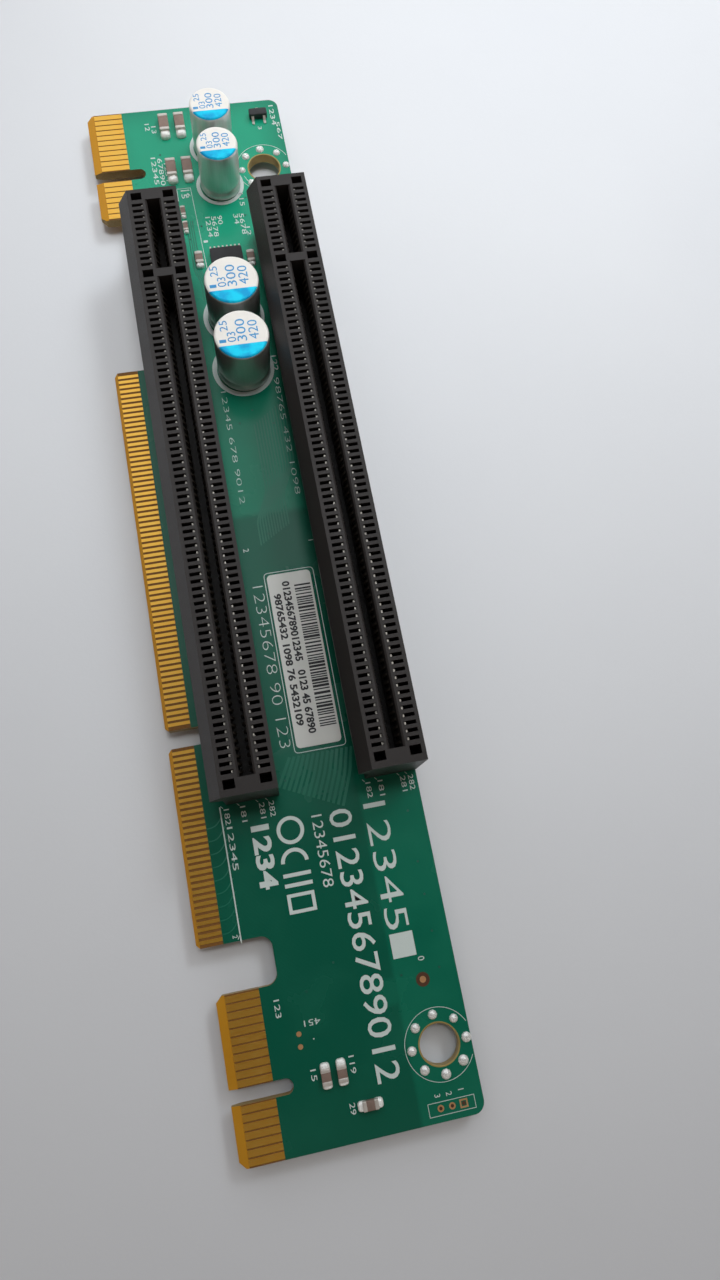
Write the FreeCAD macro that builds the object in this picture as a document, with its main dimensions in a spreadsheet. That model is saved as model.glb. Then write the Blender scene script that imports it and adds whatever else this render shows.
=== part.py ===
"""PCIe riser card: a green circuit card that lies face up, with two x16 card-edge sockets on it.

Frame: millimetres, +Z up, +Y towards the upper short tongue, +X away from the finger edge.
The origin is the bottom centre of the whole part, so Z = 0 is the tip of the socket solder joints.
"""
import FreeCAD, Part
import os
import Sketcher
from FreeCAD import Placement, Rotation, Vector

doc = FreeCAD.newDocument("riser_card")

# Driving dimensions: alias, value in mm (or a count), and what it measures.
SIZES = [
    # Board
    ("board_length", 157.5, "upper end to lower end"),
    ("board_width", 31.25, "edge of the short tongues to the right long edge"),
    ("board_thick", 1.6, "laminate"),
    ("board_corner", 1.5, "radius of the two right-hand corners"),
    ("solder_drop", 1.4, "height of the socket solder joints under the board"),
    ("bare_margin", 0.95, "bare left edge past the side of socket A"),
    # Short tongues, one at each end, each split by a key notch
    ("key_to_wide_end", 12.1, "key centre to the end with eleven fingers"),
    ("key_to_narrow_end", 8.1, "key centre to the end with seven fingers"),
    ("key_width", 1.9, "key notch"),
    ("key_depth", 8.0, "key notch from the tongue edge"),
    ("short_bevel", 1.2, "bevel across the short tongues"),
    ("short_corner", 0.8, "corner cut of the short tongues"),
    ("short_pitch", 1.0, "short tongue finger spacing"),
    ("short_finger_wide", 0.8, "short tongue finger width"),
    ("short_finger_long", 4.4, "short tongue finger length"),
    # Long tongue between them, split by one notch
    ("long_start", 47.3, "long tongue from the upper end"),
    ("long_upper", 55.2, "upper part of the long tongue"),
    ("long_notch", 2.5, "notch between its two parts"),
    ("long_reach", 1.45, "how far it stands out past the short tongues"),
    ("long_notch_depth", 5.35, "notch from the tongue edge"),
    ("long_bevel", 0.5, "bevel across the long tongue"),
    ("long_corner", 0.5, "corner cut of the long tongue"),
    ("long_pitch", 0.8, "long tongue finger spacing"),
    ("long_finger_wide", 0.46, "long tongue finger width"),
    ("long_finger_long", 3.0, "long tongue finger length"),
    ("long_finger_start", 0.65, "end of each part to its first and last finger, at least"),
    ("bevel_drop", 0.4, "depth of both bevels at the edge"),
    ("side_notch_wide", 6.15, "big notch above the lower short tongue"),
    ("side_notch_depth", 8.2, "its depth from the short tongue edge"),
    ("side_notch_corner", 1.5, "its inner corner radius"),
    ("gold_thick", 0.05, "finger plating"),
    # Mounting holes
    ("hole_bore", 2.6, "clear radius of a mounting hole"),
    ("hole_inset", 4.2, "hole centre from the right long edge"),
    ("hole_upper", 13.3, "upper hole centre from the upper end"),
    ("hole_lower", 8.95, "lower hole centre from the lower end"),
    # Card-edge sockets
    ("socket_overhang", 0.1, "socket B past the right long edge"),
    ("socket_spacing", 19.0, "slot to slot"),
    ("first_contact", 27.7, "first contact of both sockets from the upper end"),
    ("contact_pitch", 1.0, "contact spacing"),
    ("contacts_before_key", 11, "contacts above the key"),
    ("contacts_after_key", 71, "contacts below the key"),
    ("key_gap", 3.0, "contact 11 to contact 12"),
    ("socket_width", 7.2, "moulding at the top face"),
    ("socket_height", 11.25, "moulding above the board"),
    ("socket_upper_end", 2.7, "moulding past contact 1"),
    ("socket_lower_end", 3.0, "moulding past contact 82"),
    ("hood_reach", 1.5, "side hood past the moulding side"),
    ("hood_slope", 2.5, "drop of the hood from the top face"),
    ("hood_lip", 0.6, "outer edge of the hood"),
    ("hood_root", 1.3, "drop from the lip to the root of the hood"),
    ("slot_width", 1.8, "card slot"),
    ("slot_depth", 8.2, "card slot below the top face"),
    ("slot_margin", 0.85, "slot past its end contacts"),
    ("slot_lead_in", 0.25, "chamfer of the slot mouth"),
    ("cavity_inner", 1.5, "contact cavity from the slot middle, inner end"),
    ("cavity_long", 1.6, "contact cavity across the socket"),
    ("cavity_wide", 0.5, "contact cavity along the socket"),
    ("cavity_depth", 9.0, "contact cavity below the top face"),
    ("pocket_long", 1.5, "coring pocket across the socket"),
    ("pocket_wide", 1.2, "coring pocket along the socket"),
    ("pocket_depth", 6.0, "coring pocket below the top face"),
    ("pocket_past_end", 1.5, "coring pocket centre past the end contacts"),
    ("peg_radius", 1.15, "locating peg"),
    ("peg_drop", 0.5, "peg below the board"),
    ("peg_clearance", 0.05, "peg to its hole"),
    ("peg_past_end", 1.65, "lower peg past contact 82"),
    ("contact_thick", 0.35, "spring contact blade at its foot"),
    ("contact_wide", 0.3, "spring contact along the socket"),
    ("contact_gap", 0.05, "blade tip to the cavity wall"),
    ("contact_below_top", 0.35, "blade tip below the top face"),
    ("contact_lean", 1.1, "blade foot outside its tip"),
    # Solder joints under the board
    ("joint_inner_row", 1.0, "inner rows from the slot middle"),
    ("joint_outer_row", 3.0, "outer rows from the slot middle"),
    ("joint_base", 0.9, "solder joint at the board"),
    # Can capacitors
    ("small_can_radius", 3.15, "two upper capacitors"),
    ("small_can_top", 8.7, "their height above the board"),
    ("small_can_across", 1.3, "their place right of the midline between the sockets"),
    ("small_can_along", 19.3, "the upper one above contact 1"),
    ("small_lead_gap", 2.5, "their leads, centre to centre"),
    ("large_can_radius", 4.0, "two capacitors between the sockets"),
    ("large_can_top", 9.1, "their height above the board"),
    ("large_can_clear", 0.65, "clear space between them and the hood of socket B"),
    ("large_can_along", -12.4, "the upper one above contact 1"),
    ("large_lead_gap", 3.5, "their leads, centre to centre"),
    ("can_gap", 1.1, "clear space between the two of a pair"),
    ("crimp_height", 1.5, "middle of the crimp above the board"),
    ("crimp_half", 0.4, "half the height of the crimp"),
    ("crimp_depth", 0.3, "depth of the crimp"),
    ("can_joint_drop", 1.1, "solder joints of the capacitor leads"),
    # Chip capacitors
    ("large_chip_long", 3.2, "large chip capacitor"),
    ("large_chip_wide", 1.6, "large chip capacitor"),
    ("large_chip_high", 1.25, "large chip capacitor"),
    ("large_chip_end", 0.55, "its metal ends"),
    ("small_chip_long", 2.0, "small chip capacitor"),
    ("small_chip_wide", 1.2, "small chip capacitor"),
    ("small_chip_high", 0.85, "small chip capacitor"),
    ("small_chip_end", 0.4, "its metal ends"),
    ("tiny_chip_long", 1.6, "chips close beside socket A"),
    ("tiny_chip_wide", 0.8, "chips close beside socket A"),
    ("tiny_chip_high", 0.7, "chips close beside socket A"),
    ("tiny_chip_end", 0.3, "their metal ends"),
    # Logic chip and transistor
    ("logic_across", 0.15, "logic chip right of the midline between the sockets"),
    ("logic_along", 2.65, "logic chip below contact 1"),
    ("logic_wide", 5.0, "logic chip body along its lead rows"),
    ("logic_deep", 4.4, "logic chip body across its lead rows"),
    ("logic_high", 1.0, "logic chip body"),
    ("logic_leads", 8, "leads in a row"),
    ("logic_pitch", 0.65, "lead spacing"),
    ("transistor_inset", 3.55, "transistor from the right long edge"),
    ("transistor_from_end", 3.1, "transistor from the upper end"),
    ("transistor_wide", 2.9, "transistor body"),
    ("transistor_deep", 1.3, "transistor body"),
    ("transistor_high", 1.0, "transistor body"),
    ("transistor_pitch", 0.95, "transistor leads from its middle"),
    ("lead_reach", 0.95, "leads past the body"),
    ("lead_foot", 0.5, "flat foot of a lead"),
    ("lead_thick", 0.15, "lead sheet"),
    ("lead_wide", 0.25, "logic chip lead"),
    ("transistor_lead_wide", 0.4, "transistor lead"),
    ("body_stand_off", 0.1, "chip bodies above the board"),
    # Paper label
    ("label_across", 0.65, "label right of the midline between the sockets"),
    ("label_along", 67.65, "label below contact 1"),
    ("label_wide", 6.3, "label across the board"),
    ("label_long", 25.3, "label along the board"),
    ("label_thick", 0.1, "label"),
    ("label_corner", 0.4, "label corner cut"),
]

sheet = doc.addObject("Spreadsheet::Sheet", "Sizes")
for row, (alias, value, note) in enumerate(SIZES, start=1):
    sheet.set(f"A{row}", note)
    sheet.set(f"B{row}", str(value))
    sheet.setAlias(f"B{row}", alias)
doc.recompute()


def size(alias):
    """One cell of the sheet as a number."""
    return float(sheet.get(alias))


def value(expression):
    """An expression on the sheet as a number."""
    return float(sheet.evalExpression(expression))


# Heights and places that several pieces share, as expressions on the sheet.
BOARD_TOP = "(Sizes.solder_drop + Sizes.board_thick)"
UPPER_END = "(Sizes.board_length / 2)"
LOWER_END = "(-Sizes.board_length / 2)"
RIGHT_EDGE = "((Sizes.board_width + Sizes.long_reach - Sizes.socket_overhang) / 2)"
SHORT_EDGE = f"({RIGHT_EDGE} - Sizes.board_width)"
LONG_EDGE = f"({SHORT_EDGE} - Sizes.long_reach)"
SOCKET_B = f"({RIGHT_EDGE} + Sizes.socket_overhang - Sizes.socket_width / 2)"
SOCKET_A = f"({SOCKET_B} - Sizes.socket_spacing)"
MIDLINE = f"({SOCKET_B} - Sizes.socket_spacing / 2)"
HOOD_B = f"({SOCKET_B} - Sizes.socket_width / 2 - Sizes.hood_reach)"
BARE_EDGE = f"({SOCKET_A} - Sizes.socket_width / 2 - Sizes.bare_margin)"
UPPER_KEY = f"({UPPER_END} - Sizes.key_to_wide_end)"
LOWER_KEY = f"({LOWER_END} + Sizes.key_to_narrow_end)"
LONG_START = f"({UPPER_END} - Sizes.long_start)"
LONG_SPLIT = f"({LONG_START} - Sizes.long_upper)"
LONG_RESUME = f"({LONG_SPLIT} - Sizes.long_notch)"
LONG_END = f"({LOWER_KEY} + Sizes.key_to_wide_end + Sizes.side_notch_wide)"
CONTACT_1 = f"({UPPER_END} - Sizes.first_contact)"
SOCKET_TOP = f"({BOARD_TOP} + Sizes.socket_height)"
SOCKET_AXIS = {"a": SOCKET_A, "b": SOCKET_B}
LAST_BEFORE_KEY = "((Sizes.contacts_before_key - 1) * Sizes.contact_pitch)"
FIRST_AFTER_KEY = f"({LAST_BEFORE_KEY} + Sizes.key_gap)"
LAST_CONTACT = f"({FIRST_AFTER_KEY} + (Sizes.contacts_after_key - 1) * Sizes.contact_pitch)"
KEY_MIDDLE = f"({LAST_BEFORE_KEY} + Sizes.key_gap / 2)"
CONTACT_ROWS = (
    ("upper", "0", "Sizes.contacts_before_key"),
    ("lower", FIRST_AFTER_KEY, "Sizes.contacts_after_key"),
)
PEG_PLACES = (KEY_MIDDLE, f"({LAST_CONTACT} + Sizes.peg_past_end)")


def along_socket(distance):
    """A place along Y, given its distance below contact 1."""
    return f"({CONTACT_1} - ({distance}))"


# ---------------------------------------------------------------- sketch helpers

def new_body(label):
    """A PartDesign body that may hold several separate solids."""
    body = doc.addObject("PartDesign::Body", label)
    body.Label = label
    body.AllowCompound = True
    return body


def new_sketch(body, name, role, lift="0"):
    """A sketch on one of the body's own origin planes, moved along the plane's normal by lift."""
    sketch = body.newObject("Sketcher::SketchObject", name)
    plane = next(item for item in body.Origin.OriginFeatures if item.Role == role)
    sketch.AttachmentSupport = (plane, [""])
    sketch.MapMode = "FlatFace"
    sketch.setExpression("AttachmentOffset.Base.z", lift)
    return sketch


def pin_point(sketch, geometry, point, x, y):
    """Tie a sketch point to the sketch origin by two signed distances."""
    for kind, distance in (("DistanceX", x), ("DistanceY", y)):
        value = float(sketch.evalExpression(distance))
        index = sketch.addConstraint(Sketcher.Constraint(kind, -1, 1, geometry, point, value))
        sketch.setExpression(f"Constraints[{index}]", distance)


def draw_polygon(sketch, corners):
    """A closed outline through corners, each a pair of expressions."""
    points = [Vector(*(float(sketch.evalExpression(text)) for text in corner), 0) for corner in corners]
    first = sketch.GeometryCount
    count = len(corners)
    for k in range(count):
        sketch.addGeometry(Part.LineSegment(points[k], points[(k + 1) % count]), False)
    for k in range(count):
        sketch.addConstraint(Sketcher.Constraint("Coincident", first + k, 2, first + (k + 1) % count, 1))
        pin_point(sketch, first + k, 1, *corners[k])


def draw_rectangle(sketch, middle_x, middle_y, wide, high):
    """A rectangle given by its middle and its two sizes."""
    left = f"{middle_x} - {wide} / 2"
    right = f"{middle_x} + {wide} / 2"
    low = f"{middle_y} - {high} / 2"
    top = f"{middle_y} + {high} / 2"
    draw_polygon(sketch, [(left, low), (right, low), (right, top), (left, top)])


def draw_circle(sketch, x, y, radius):
    """A circle tied by its centre and radius."""
    centre = Vector(float(sketch.evalExpression(x)), float(sketch.evalExpression(y)), 0)
    value = float(sketch.evalExpression(radius))
    geometry = sketch.addGeometry(Part.Circle(centre, Vector(0, 0, 1), value), False)
    index = sketch.addConstraint(Sketcher.Constraint("Radius", geometry, value))
    sketch.setExpression(f"Constraints[{index}]", radius)
    pin_point(sketch, geometry, 3, x, y)


def add_feature(body, kind, name, sketch, length, reverse=False, both_ways=False):
    """A Pad or Pocket of a sketch, by a length given as an expression."""
    feature = body.newObject(f"PartDesign::{kind}", name)
    feature.Profile = sketch
    feature.Reversed = reverse
    feature.Midplane = both_ways
    feature.setExpression("Length", length)
    body.Tip = feature
    return feature


def add_row(body, name, original, role, pitch, count, reverse=True):
    """A linear pattern of one feature along an origin axis, count pieces at the given pitch."""
    axis = next(item for item in body.Origin.OriginFeatures if item.Role == role)
    row = body.newObject("PartDesign::LinearPattern", name)
    row.Originals = [original]
    row.Direction = (axis, [""])
    row.Reversed = reverse
    row.Mode = "Spacing"
    row.setExpression("Offset", pitch)
    row.setExpression("Occurrences", count)
    body.Tip = row
    return row


def pick_edges(body, keep):
    """Names of the tip's edges that pass a test."""
    doc.recompute()
    return [f"Edge{n}" for n, edge in enumerate(body.Tip.Shape.Edges, start=1) if keep(edge)]


def is_upright(edge):
    """True for a straight edge along Z."""
    if edge.Curve.TypeId != "Part::GeomLine":
        return False
    return abs(edge.tangentAt(edge.FirstParameter).z) > 0.999


def add_edge_finish(body, kind, name, edges, amount):
    """A Fillet or Chamfer of the tip's edges."""
    base = body.Tip
    finish = body.newObject(f"PartDesign::{kind}", name)
    finish.Base = (base, edges)
    finish.setExpression("Radius" if kind == "Fillet" else "Size", amount)
    body.Tip = finish
    return finish


# ---------------------------------------------------------------- circuit board

def make_board():
    """The routed laminate: outline with three tongues, bevels, peg holes and mounting holes."""
    body = new_body("circuit_board")
    outline = new_sketch(body, "board_outline", "XY_Plane", "Sizes.solder_drop")
    half_key = "Sizes.key_width / 2"
    upper_wide_end = f"{UPPER_KEY} - Sizes.key_to_narrow_end"
    lower_wide_end = f"{LOWER_KEY} + Sizes.key_to_wide_end"
    key_floor = f"{SHORT_EDGE} + Sizes.key_depth"
    notch_floor = f"{LONG_EDGE} + Sizes.long_notch_depth"
    side_floor = f"{SHORT_EDGE} + Sizes.side_notch_depth"
    draw_polygon(outline, [
        (RIGHT_EDGE, LOWER_END),
        (RIGHT_EDGE, UPPER_END),
        (f"{SHORT_EDGE} + Sizes.short_corner", UPPER_END),
        (SHORT_EDGE, f"{UPPER_END} - Sizes.short_corner"),
        (SHORT_EDGE, f"{UPPER_KEY} + {half_key}"),
        (key_floor, f"{UPPER_KEY} + {half_key}"),
        (key_floor, f"{UPPER_KEY} - {half_key}"),
        (SHORT_EDGE, f"{UPPER_KEY} - {half_key}"),
        (SHORT_EDGE, f"{upper_wide_end} + Sizes.short_corner"),
        (f"{SHORT_EDGE} + Sizes.short_corner", upper_wide_end),
        (BARE_EDGE, upper_wide_end),
        (BARE_EDGE, LONG_START),
        (f"{LONG_EDGE} + Sizes.long_corner", LONG_START),
        (LONG_EDGE, f"{LONG_START} - Sizes.long_corner"),
        (LONG_EDGE, f"{LONG_SPLIT} + Sizes.long_corner"),
        (f"{LONG_EDGE} + Sizes.long_corner", LONG_SPLIT),
        (notch_floor, LONG_SPLIT),
        (notch_floor, LONG_RESUME),
        (f"{LONG_EDGE} + Sizes.long_corner", LONG_RESUME),
        (LONG_EDGE, f"{LONG_RESUME} - Sizes.long_corner"),
        (LONG_EDGE, f"{LONG_END} + Sizes.long_corner"),
        (f"{LONG_EDGE} + Sizes.long_corner", LONG_END),
        (side_floor, LONG_END),
        (side_floor, lower_wide_end),
        (f"{SHORT_EDGE} + Sizes.short_corner", lower_wide_end),
        (SHORT_EDGE, f"{lower_wide_end} - Sizes.short_corner"),
        (SHORT_EDGE, f"{LOWER_KEY} + {half_key}"),
        (key_floor, f"{LOWER_KEY} + {half_key}"),
        (key_floor, f"{LOWER_KEY} - {half_key}"),
        (SHORT_EDGE, f"{LOWER_KEY} - {half_key}"),
        (SHORT_EDGE, f"{LOWER_END} + Sizes.short_corner"),
        (f"{SHORT_EDGE} + Sizes.short_corner", LOWER_END),
    ])
    add_feature(body, "Pad", "laminate", outline, "Sizes.board_thick")

    for name, corner_x, radius in (
            ("right_corners", RIGHT_EDGE, "Sizes.board_corner"),
            ("side_notch_corners", side_floor, "Sizes.side_notch_corner"),
            ("key_ends", key_floor, "Sizes.key_width * 0.48")):
        x = value(corner_x)
        corners = pick_edges(body, lambda edge: is_upright(edge) and abs(edge.CenterOfMass.x - x) < 0.01)
        add_edge_finish(body, "Fillet", name, corners, radius)

    # Bevels: a wedge is taken off both faces along the edge of each tongue.
    tongues = [
        ("upper", SHORT_EDGE, "Sizes.short_bevel", f"{UPPER_END}", f"{upper_wide_end}"),
        ("long", LONG_EDGE, "Sizes.long_bevel", LONG_START, LONG_END),
        ("lower", SHORT_EDGE, "Sizes.short_bevel", lower_wide_end, LOWER_END),
    ]
    for name, edge_x, reach, start, end in tongues:
        # The XZ plane's normal points along -Y, so its offset is minus the place along Y.
        wedge = new_sketch(body, f"{name}_bevel_profile", "XZ_Plane", f"-({start})")
        for face, inward in ((BOARD_TOP, "-"), ("Sizes.solder_drop", "+")):
            draw_polygon(wedge, [
                (edge_x, face),
                (f"{edge_x} + {reach}", face),
                (edge_x, f"{face} {inward} Sizes.bevel_drop"),
            ])
        add_feature(body, "Pocket", f"{name}_bevel", wedge, f"{start} - ({end})", reverse=True)

    holes = new_sketch(body, "hole_centres", "XY_Plane", BOARD_TOP)
    hole_x = f"{RIGHT_EDGE} - Sizes.hole_inset"
    draw_circle(holes, hole_x, f"{UPPER_END} - Sizes.hole_upper", "Sizes.hole_bore")
    draw_circle(holes, hole_x, f"{LOWER_END} + Sizes.hole_lower", "Sizes.hole_bore")
    for axis in (SOCKET_A, SOCKET_B):
        for along in PEG_PLACES:
            draw_circle(holes, axis, along_socket(along), "Sizes.peg_radius + Sizes.peg_clearance")
    add_feature(body, "Pocket", "drilled_holes", holes, "Sizes.board_thick")
    return body


# ---------------------------------------------------------------- gold fingers

def make_fingers(label, edge_x, bevel, wide, length, pitch, groups):
    """Plated fingers of one tongue, on the component side or the solder side.

    groups holds (first finger along Y, count) for the parts of the tongue. The label's ending says the side.
    """
    body = new_body(label)
    front = label.endswith("component_side")
    level = BOARD_TOP if front else "Sizes.solder_drop"
    for k, (first, count) in enumerate(groups):
        sketch = new_sketch(body, f"{label}_outline_{k}", "XY_Plane", level)
        draw_rectangle(sketch, f"({edge_x} + {bevel} + {length} / 2)", f"({first})", length, wide)
        finger = add_feature(body, "Pad", f"{label}_finger_{k}", sketch, "Sizes.gold_thick",
                             reverse=not front)
        add_row(body, f"{label}_row_{k}", finger, "Y_Axis", pitch, count)
    return body


def long_finger_group(start, end):
    """First finger and count of fingers, centred between two ends of a part of the long tongue."""
    room = f"({start} - ({end}))"
    count = f"(floor(({room} - 2 * Sizes.long_finger_start) / Sizes.long_pitch) + 1)"
    return f"({start} + {end} + ({count} - 1) * Sizes.long_pitch) / 2", count


def make_all_fingers():
    """Both sides of the three tongues."""
    bodies = []
    past_key = "Sizes.short_pitch * 1.5"
    for side in ("component_side", "solder_side"):
        for name, key in (("upper", UPPER_KEY), ("lower", LOWER_KEY)):
            groups = [(f"{key} + {past_key} + 10 * Sizes.short_pitch", "11"), (f"{key} - {past_key}", "7")]
            bodies.append(make_fingers(
                f"{name}_fingers_{side}", SHORT_EDGE, "Sizes.short_bevel", "Sizes.short_finger_wide",
                "Sizes.short_finger_long", "Sizes.short_pitch", groups))
        groups = [long_finger_group(LONG_START, LONG_SPLIT), long_finger_group(LONG_RESUME, LONG_END)]
        bodies.append(make_fingers(
            f"long_fingers_{side}", LONG_EDGE, "Sizes.long_bevel", "Sizes.long_finger_wide",
            "Sizes.long_finger_long", "Sizes.long_pitch", groups))
    return bodies


# ---------------------------------------------------------------- card-edge sockets

def make_housing(letter):
    """The moulding: hooded section, keyed card slot, contact cavities, coring pockets and two pegs."""
    axis = SOCKET_AXIS[letter]
    half = "Sizes.socket_width / 2"
    body = new_body(f"socket_{letter}_housing")

    section = new_sketch(body, "section", "XZ_Plane", f"-{along_socket('-Sizes.socket_upper_end')}")
    hood_edge = f"{axis} - {half} - Sizes.hood_reach"
    lip_top = f"{SOCKET_TOP} - Sizes.hood_slope"
    draw_polygon(section, [
        (f"{axis} + {half}", BOARD_TOP),
        (f"{axis} + {half}", SOCKET_TOP),
        (f"{axis} - {half}", SOCKET_TOP),
        (hood_edge, lip_top),
        (hood_edge, f"{lip_top} - Sizes.hood_lip"),
        (f"{axis} - {half}", f"{lip_top} - Sizes.hood_lip - Sizes.hood_root"),
        (f"{axis} - {half}", BOARD_TOP),
    ])
    length = f"Sizes.socket_upper_end + {LAST_CONTACT} + Sizes.socket_lower_end"
    add_feature(body, "Pad", "moulding", section, length)

    slots = new_sketch(body, "card_slots", "XY_Plane", SOCKET_TOP)
    for first, last in (("0", LAST_BEFORE_KEY), (FIRST_AFTER_KEY, LAST_CONTACT)):
        middle = along_socket(f"({first} + {last}) / 2")
        draw_rectangle(slots, axis, middle, "Sizes.slot_width", f"({last} - {first} + 2 * Sizes.slot_margin)")
    add_feature(body, "Pocket", "card_slot", slots, "Sizes.slot_depth")

    wall_x = [value(f"{axis} {side} Sizes.slot_width / 2") for side in "-+"]
    mouth = pick_edges(body, lambda edge: abs(edge.CenterOfMass.z - value(SOCKET_TOP)) < 0.01
                       and min(abs(edge.CenterOfMass.x - x) for x in wall_x) < 0.01)
    add_edge_finish(body, "Chamfer", "slot_mouth", mouth, "Sizes.slot_lead_in")

    pockets = new_sketch(body, "coring_pockets", "XY_Plane", SOCKET_TOP)
    across = "(Sizes.cavity_inner + Sizes.cavity_long / 2)"
    for along in ("-Sizes.pocket_past_end", KEY_MIDDLE, f"{LAST_CONTACT} + Sizes.pocket_past_end"):
        for side in ("+", "-"):
            draw_rectangle(pockets, f"({axis} {side} {across})", along_socket(along),
                           "Sizes.pocket_long", "Sizes.pocket_wide")
    add_feature(body, "Pocket", "coring", pockets, "Sizes.pocket_depth")

    for name, first, count in CONTACT_ROWS:
        cavities = new_sketch(body, f"{name}_cavity_pair", "XY_Plane", SOCKET_TOP)
        for side in ("+", "-"):
            draw_rectangle(cavities, f"({axis} {side} {across})", along_socket(first),
                           "Sizes.cavity_long", "Sizes.cavity_wide")
        pair = add_feature(body, "Pocket", f"{name}_cavities", cavities, "Sizes.cavity_depth")
        add_row(body, f"{name}_cavity_row", pair, "Y_Axis", "Sizes.contact_pitch", count)

    pegs = new_sketch(body, "peg_outlines", "XY_Plane", BOARD_TOP)
    for along in PEG_PLACES:
        draw_polygon(pegs, [
            (f"{axis} + Sizes.peg_radius * cos({turn} deg)",
             f"{along_socket(along)} + Sizes.peg_radius * sin({turn} deg)")
            for turn in range(0, 360, 45)])
    add_feature(body, "Pad", "pegs", pegs, "Sizes.board_thick + Sizes.peg_drop", reverse=True)
    return body


def make_contacts(letter, side):
    """One row of 82 spring contacts: tapered blades that lean in to the slot from their cavity floors."""
    sign = "-" if side == "left" else "+"
    axis = SOCKET_AXIS[letter]
    body = new_body(f"socket_{letter}_contacts_{side}")
    tip = "(Sizes.cavity_inner + Sizes.contact_gap)"
    foot = f"({tip} + Sizes.contact_lean)"
    for name, first, count in CONTACT_ROWS:
        # The XZ plane's normal points along -Y, so its offset is minus the place along Y.
        blade = new_sketch(body, f"{name}_blade", "XZ_Plane", f"-{along_socket(first)}")
        draw_polygon(blade, [
            (f"{axis} {sign} {foot}", f"{SOCKET_TOP} - Sizes.cavity_depth"),
            (f"{axis} {sign} ({foot} + Sizes.contact_thick)", f"{SOCKET_TOP} - Sizes.cavity_depth"),
            (f"{axis} {sign} {tip}", f"{SOCKET_TOP} - Sizes.contact_below_top"),
        ])
        spring = add_feature(body, "Pad", f"{name}_contact", blade, "Sizes.contact_wide", both_ways=True)
        add_row(body, f"{name}_contact_row", spring, "Y_Axis", "Sizes.contact_pitch", count)
    return body


def contact_places():
    """Distance below contact 1 of every contact of one side, in order."""
    pitch = size("contact_pitch")
    before = int(size("contacts_before_key"))
    after = int(size("contacts_after_key"))
    resume = (before - 1) * pitch + size("key_gap")
    return [k * pitch for k in range(before)] + [resume + k * pitch for k in range(after)]


def solder_joint(x, y, base, drop):
    """A pointed three-sided solder joint that hangs from the back of the board at x, y."""
    top = size("solder_drop")
    ring = [Vector(x + dx * base, y + dy * base, top) for dx, dy in ((0, 0.58), (0.5, -0.29), (-0.5, -0.29))]
    tip = Vector(x, y, top - drop)
    faces = [Part.Face(Part.makePolygon(ring + ring[:1]))]
    for k in range(len(ring)):
        start = ring[k]
        end = ring[(k + 1) % len(ring)]
        faces.append(Part.Face(Part.makePolygon([start, end, tip, start])))
    return Part.makeSolid(Part.makeShell(faces))


def make_socket_joints(letter):
    """The joints of 164 tails: neighbours on a side take the outer and the inner row by turns."""
    axis = value(SOCKET_AXIS[letter])
    joints = []
    for n, along in enumerate(contact_places()):
        across = size("joint_outer_row") if n % 2 == 0 else size("joint_inner_row")
        for side in (-1, 1):
            joints.append(solder_joint(axis + side * across, value(CONTACT_1) - along,
                                       size("joint_base"), size("solder_drop")))
    group = doc.addObject("Part::Feature", f"socket_{letter}_solder_joints")
    group.Label = f"socket_{letter}_solder_joints"
    group.Shape = Part.makeCompound(joints)
    return group


# ---------------------------------------------------------------- can capacitors

def make_can(label, kind, x, y):
    """A capacitor can: a drawn cup turned about its own axis, with a crimp near its foot."""
    body = new_body(label)
    profile = new_sketch(body, "can_profile", "XZ_Plane", f"-({y})")
    radius = f"Sizes.{kind}_can_radius"
    top = f"({BOARD_TOP} + Sizes.{kind}_can_top)"
    crimp = f"({BOARD_TOP} + Sizes.crimp_height)"
    draw_polygon(profile, [
        (x, BOARD_TOP),
        (f"{x} + {radius}", BOARD_TOP),
        (f"{x} + {radius}", f"{crimp} - Sizes.crimp_half"),
        (f"{x} + {radius} - Sizes.crimp_depth", crimp),
        (f"{x} + {radius}", f"{crimp} + Sizes.crimp_half"),
        (f"{x} + {radius}", top),
        (x, top),
    ])
    turn = body.newObject("PartDesign::Revolution", "can")
    turn.Profile = profile
    last_line = profile.GeometryCount - 1
    turn.ReferenceAxis = (profile, [f"Edge{last_line + 1}"])
    turn.Angle = 360
    body.Tip = turn
    return body


def make_capacitors():
    """Four cans in two pairs, and the solder joints of their leads under the board."""
    made = []
    joints = []
    across = {
        "small": f"({MIDLINE} + Sizes.small_can_across)",
        "large": f"({HOOD_B} - Sizes.large_can_clear - Sizes.large_can_radius)",
    }
    for pair, kind in enumerate(("small", "large")):
        x = across[kind]
        for k in range(2):
            step = f"(2 * Sizes.{kind}_can_radius + Sizes.can_gap)"
            y = f"({CONTACT_1} + Sizes.{kind}_can_along - {k} * {step})"
            made.append(make_can(f"capacitor_{2 * pair + k + 1}_can", kind, x, y))
            for side in (-0.5, 0.5):
                joints.append(solder_joint(value(x) + side * size(f"{kind}_lead_gap"), value(y),
                                           size("joint_base"), size("can_joint_drop")))
    group = doc.addObject("Part::Feature", "capacitor_solder_joints")
    group.Label = "capacitor_solder_joints"
    group.Shape = Part.makeCompound(joints)
    return made + [group]


# ---------------------------------------------------------------- chip parts

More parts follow.
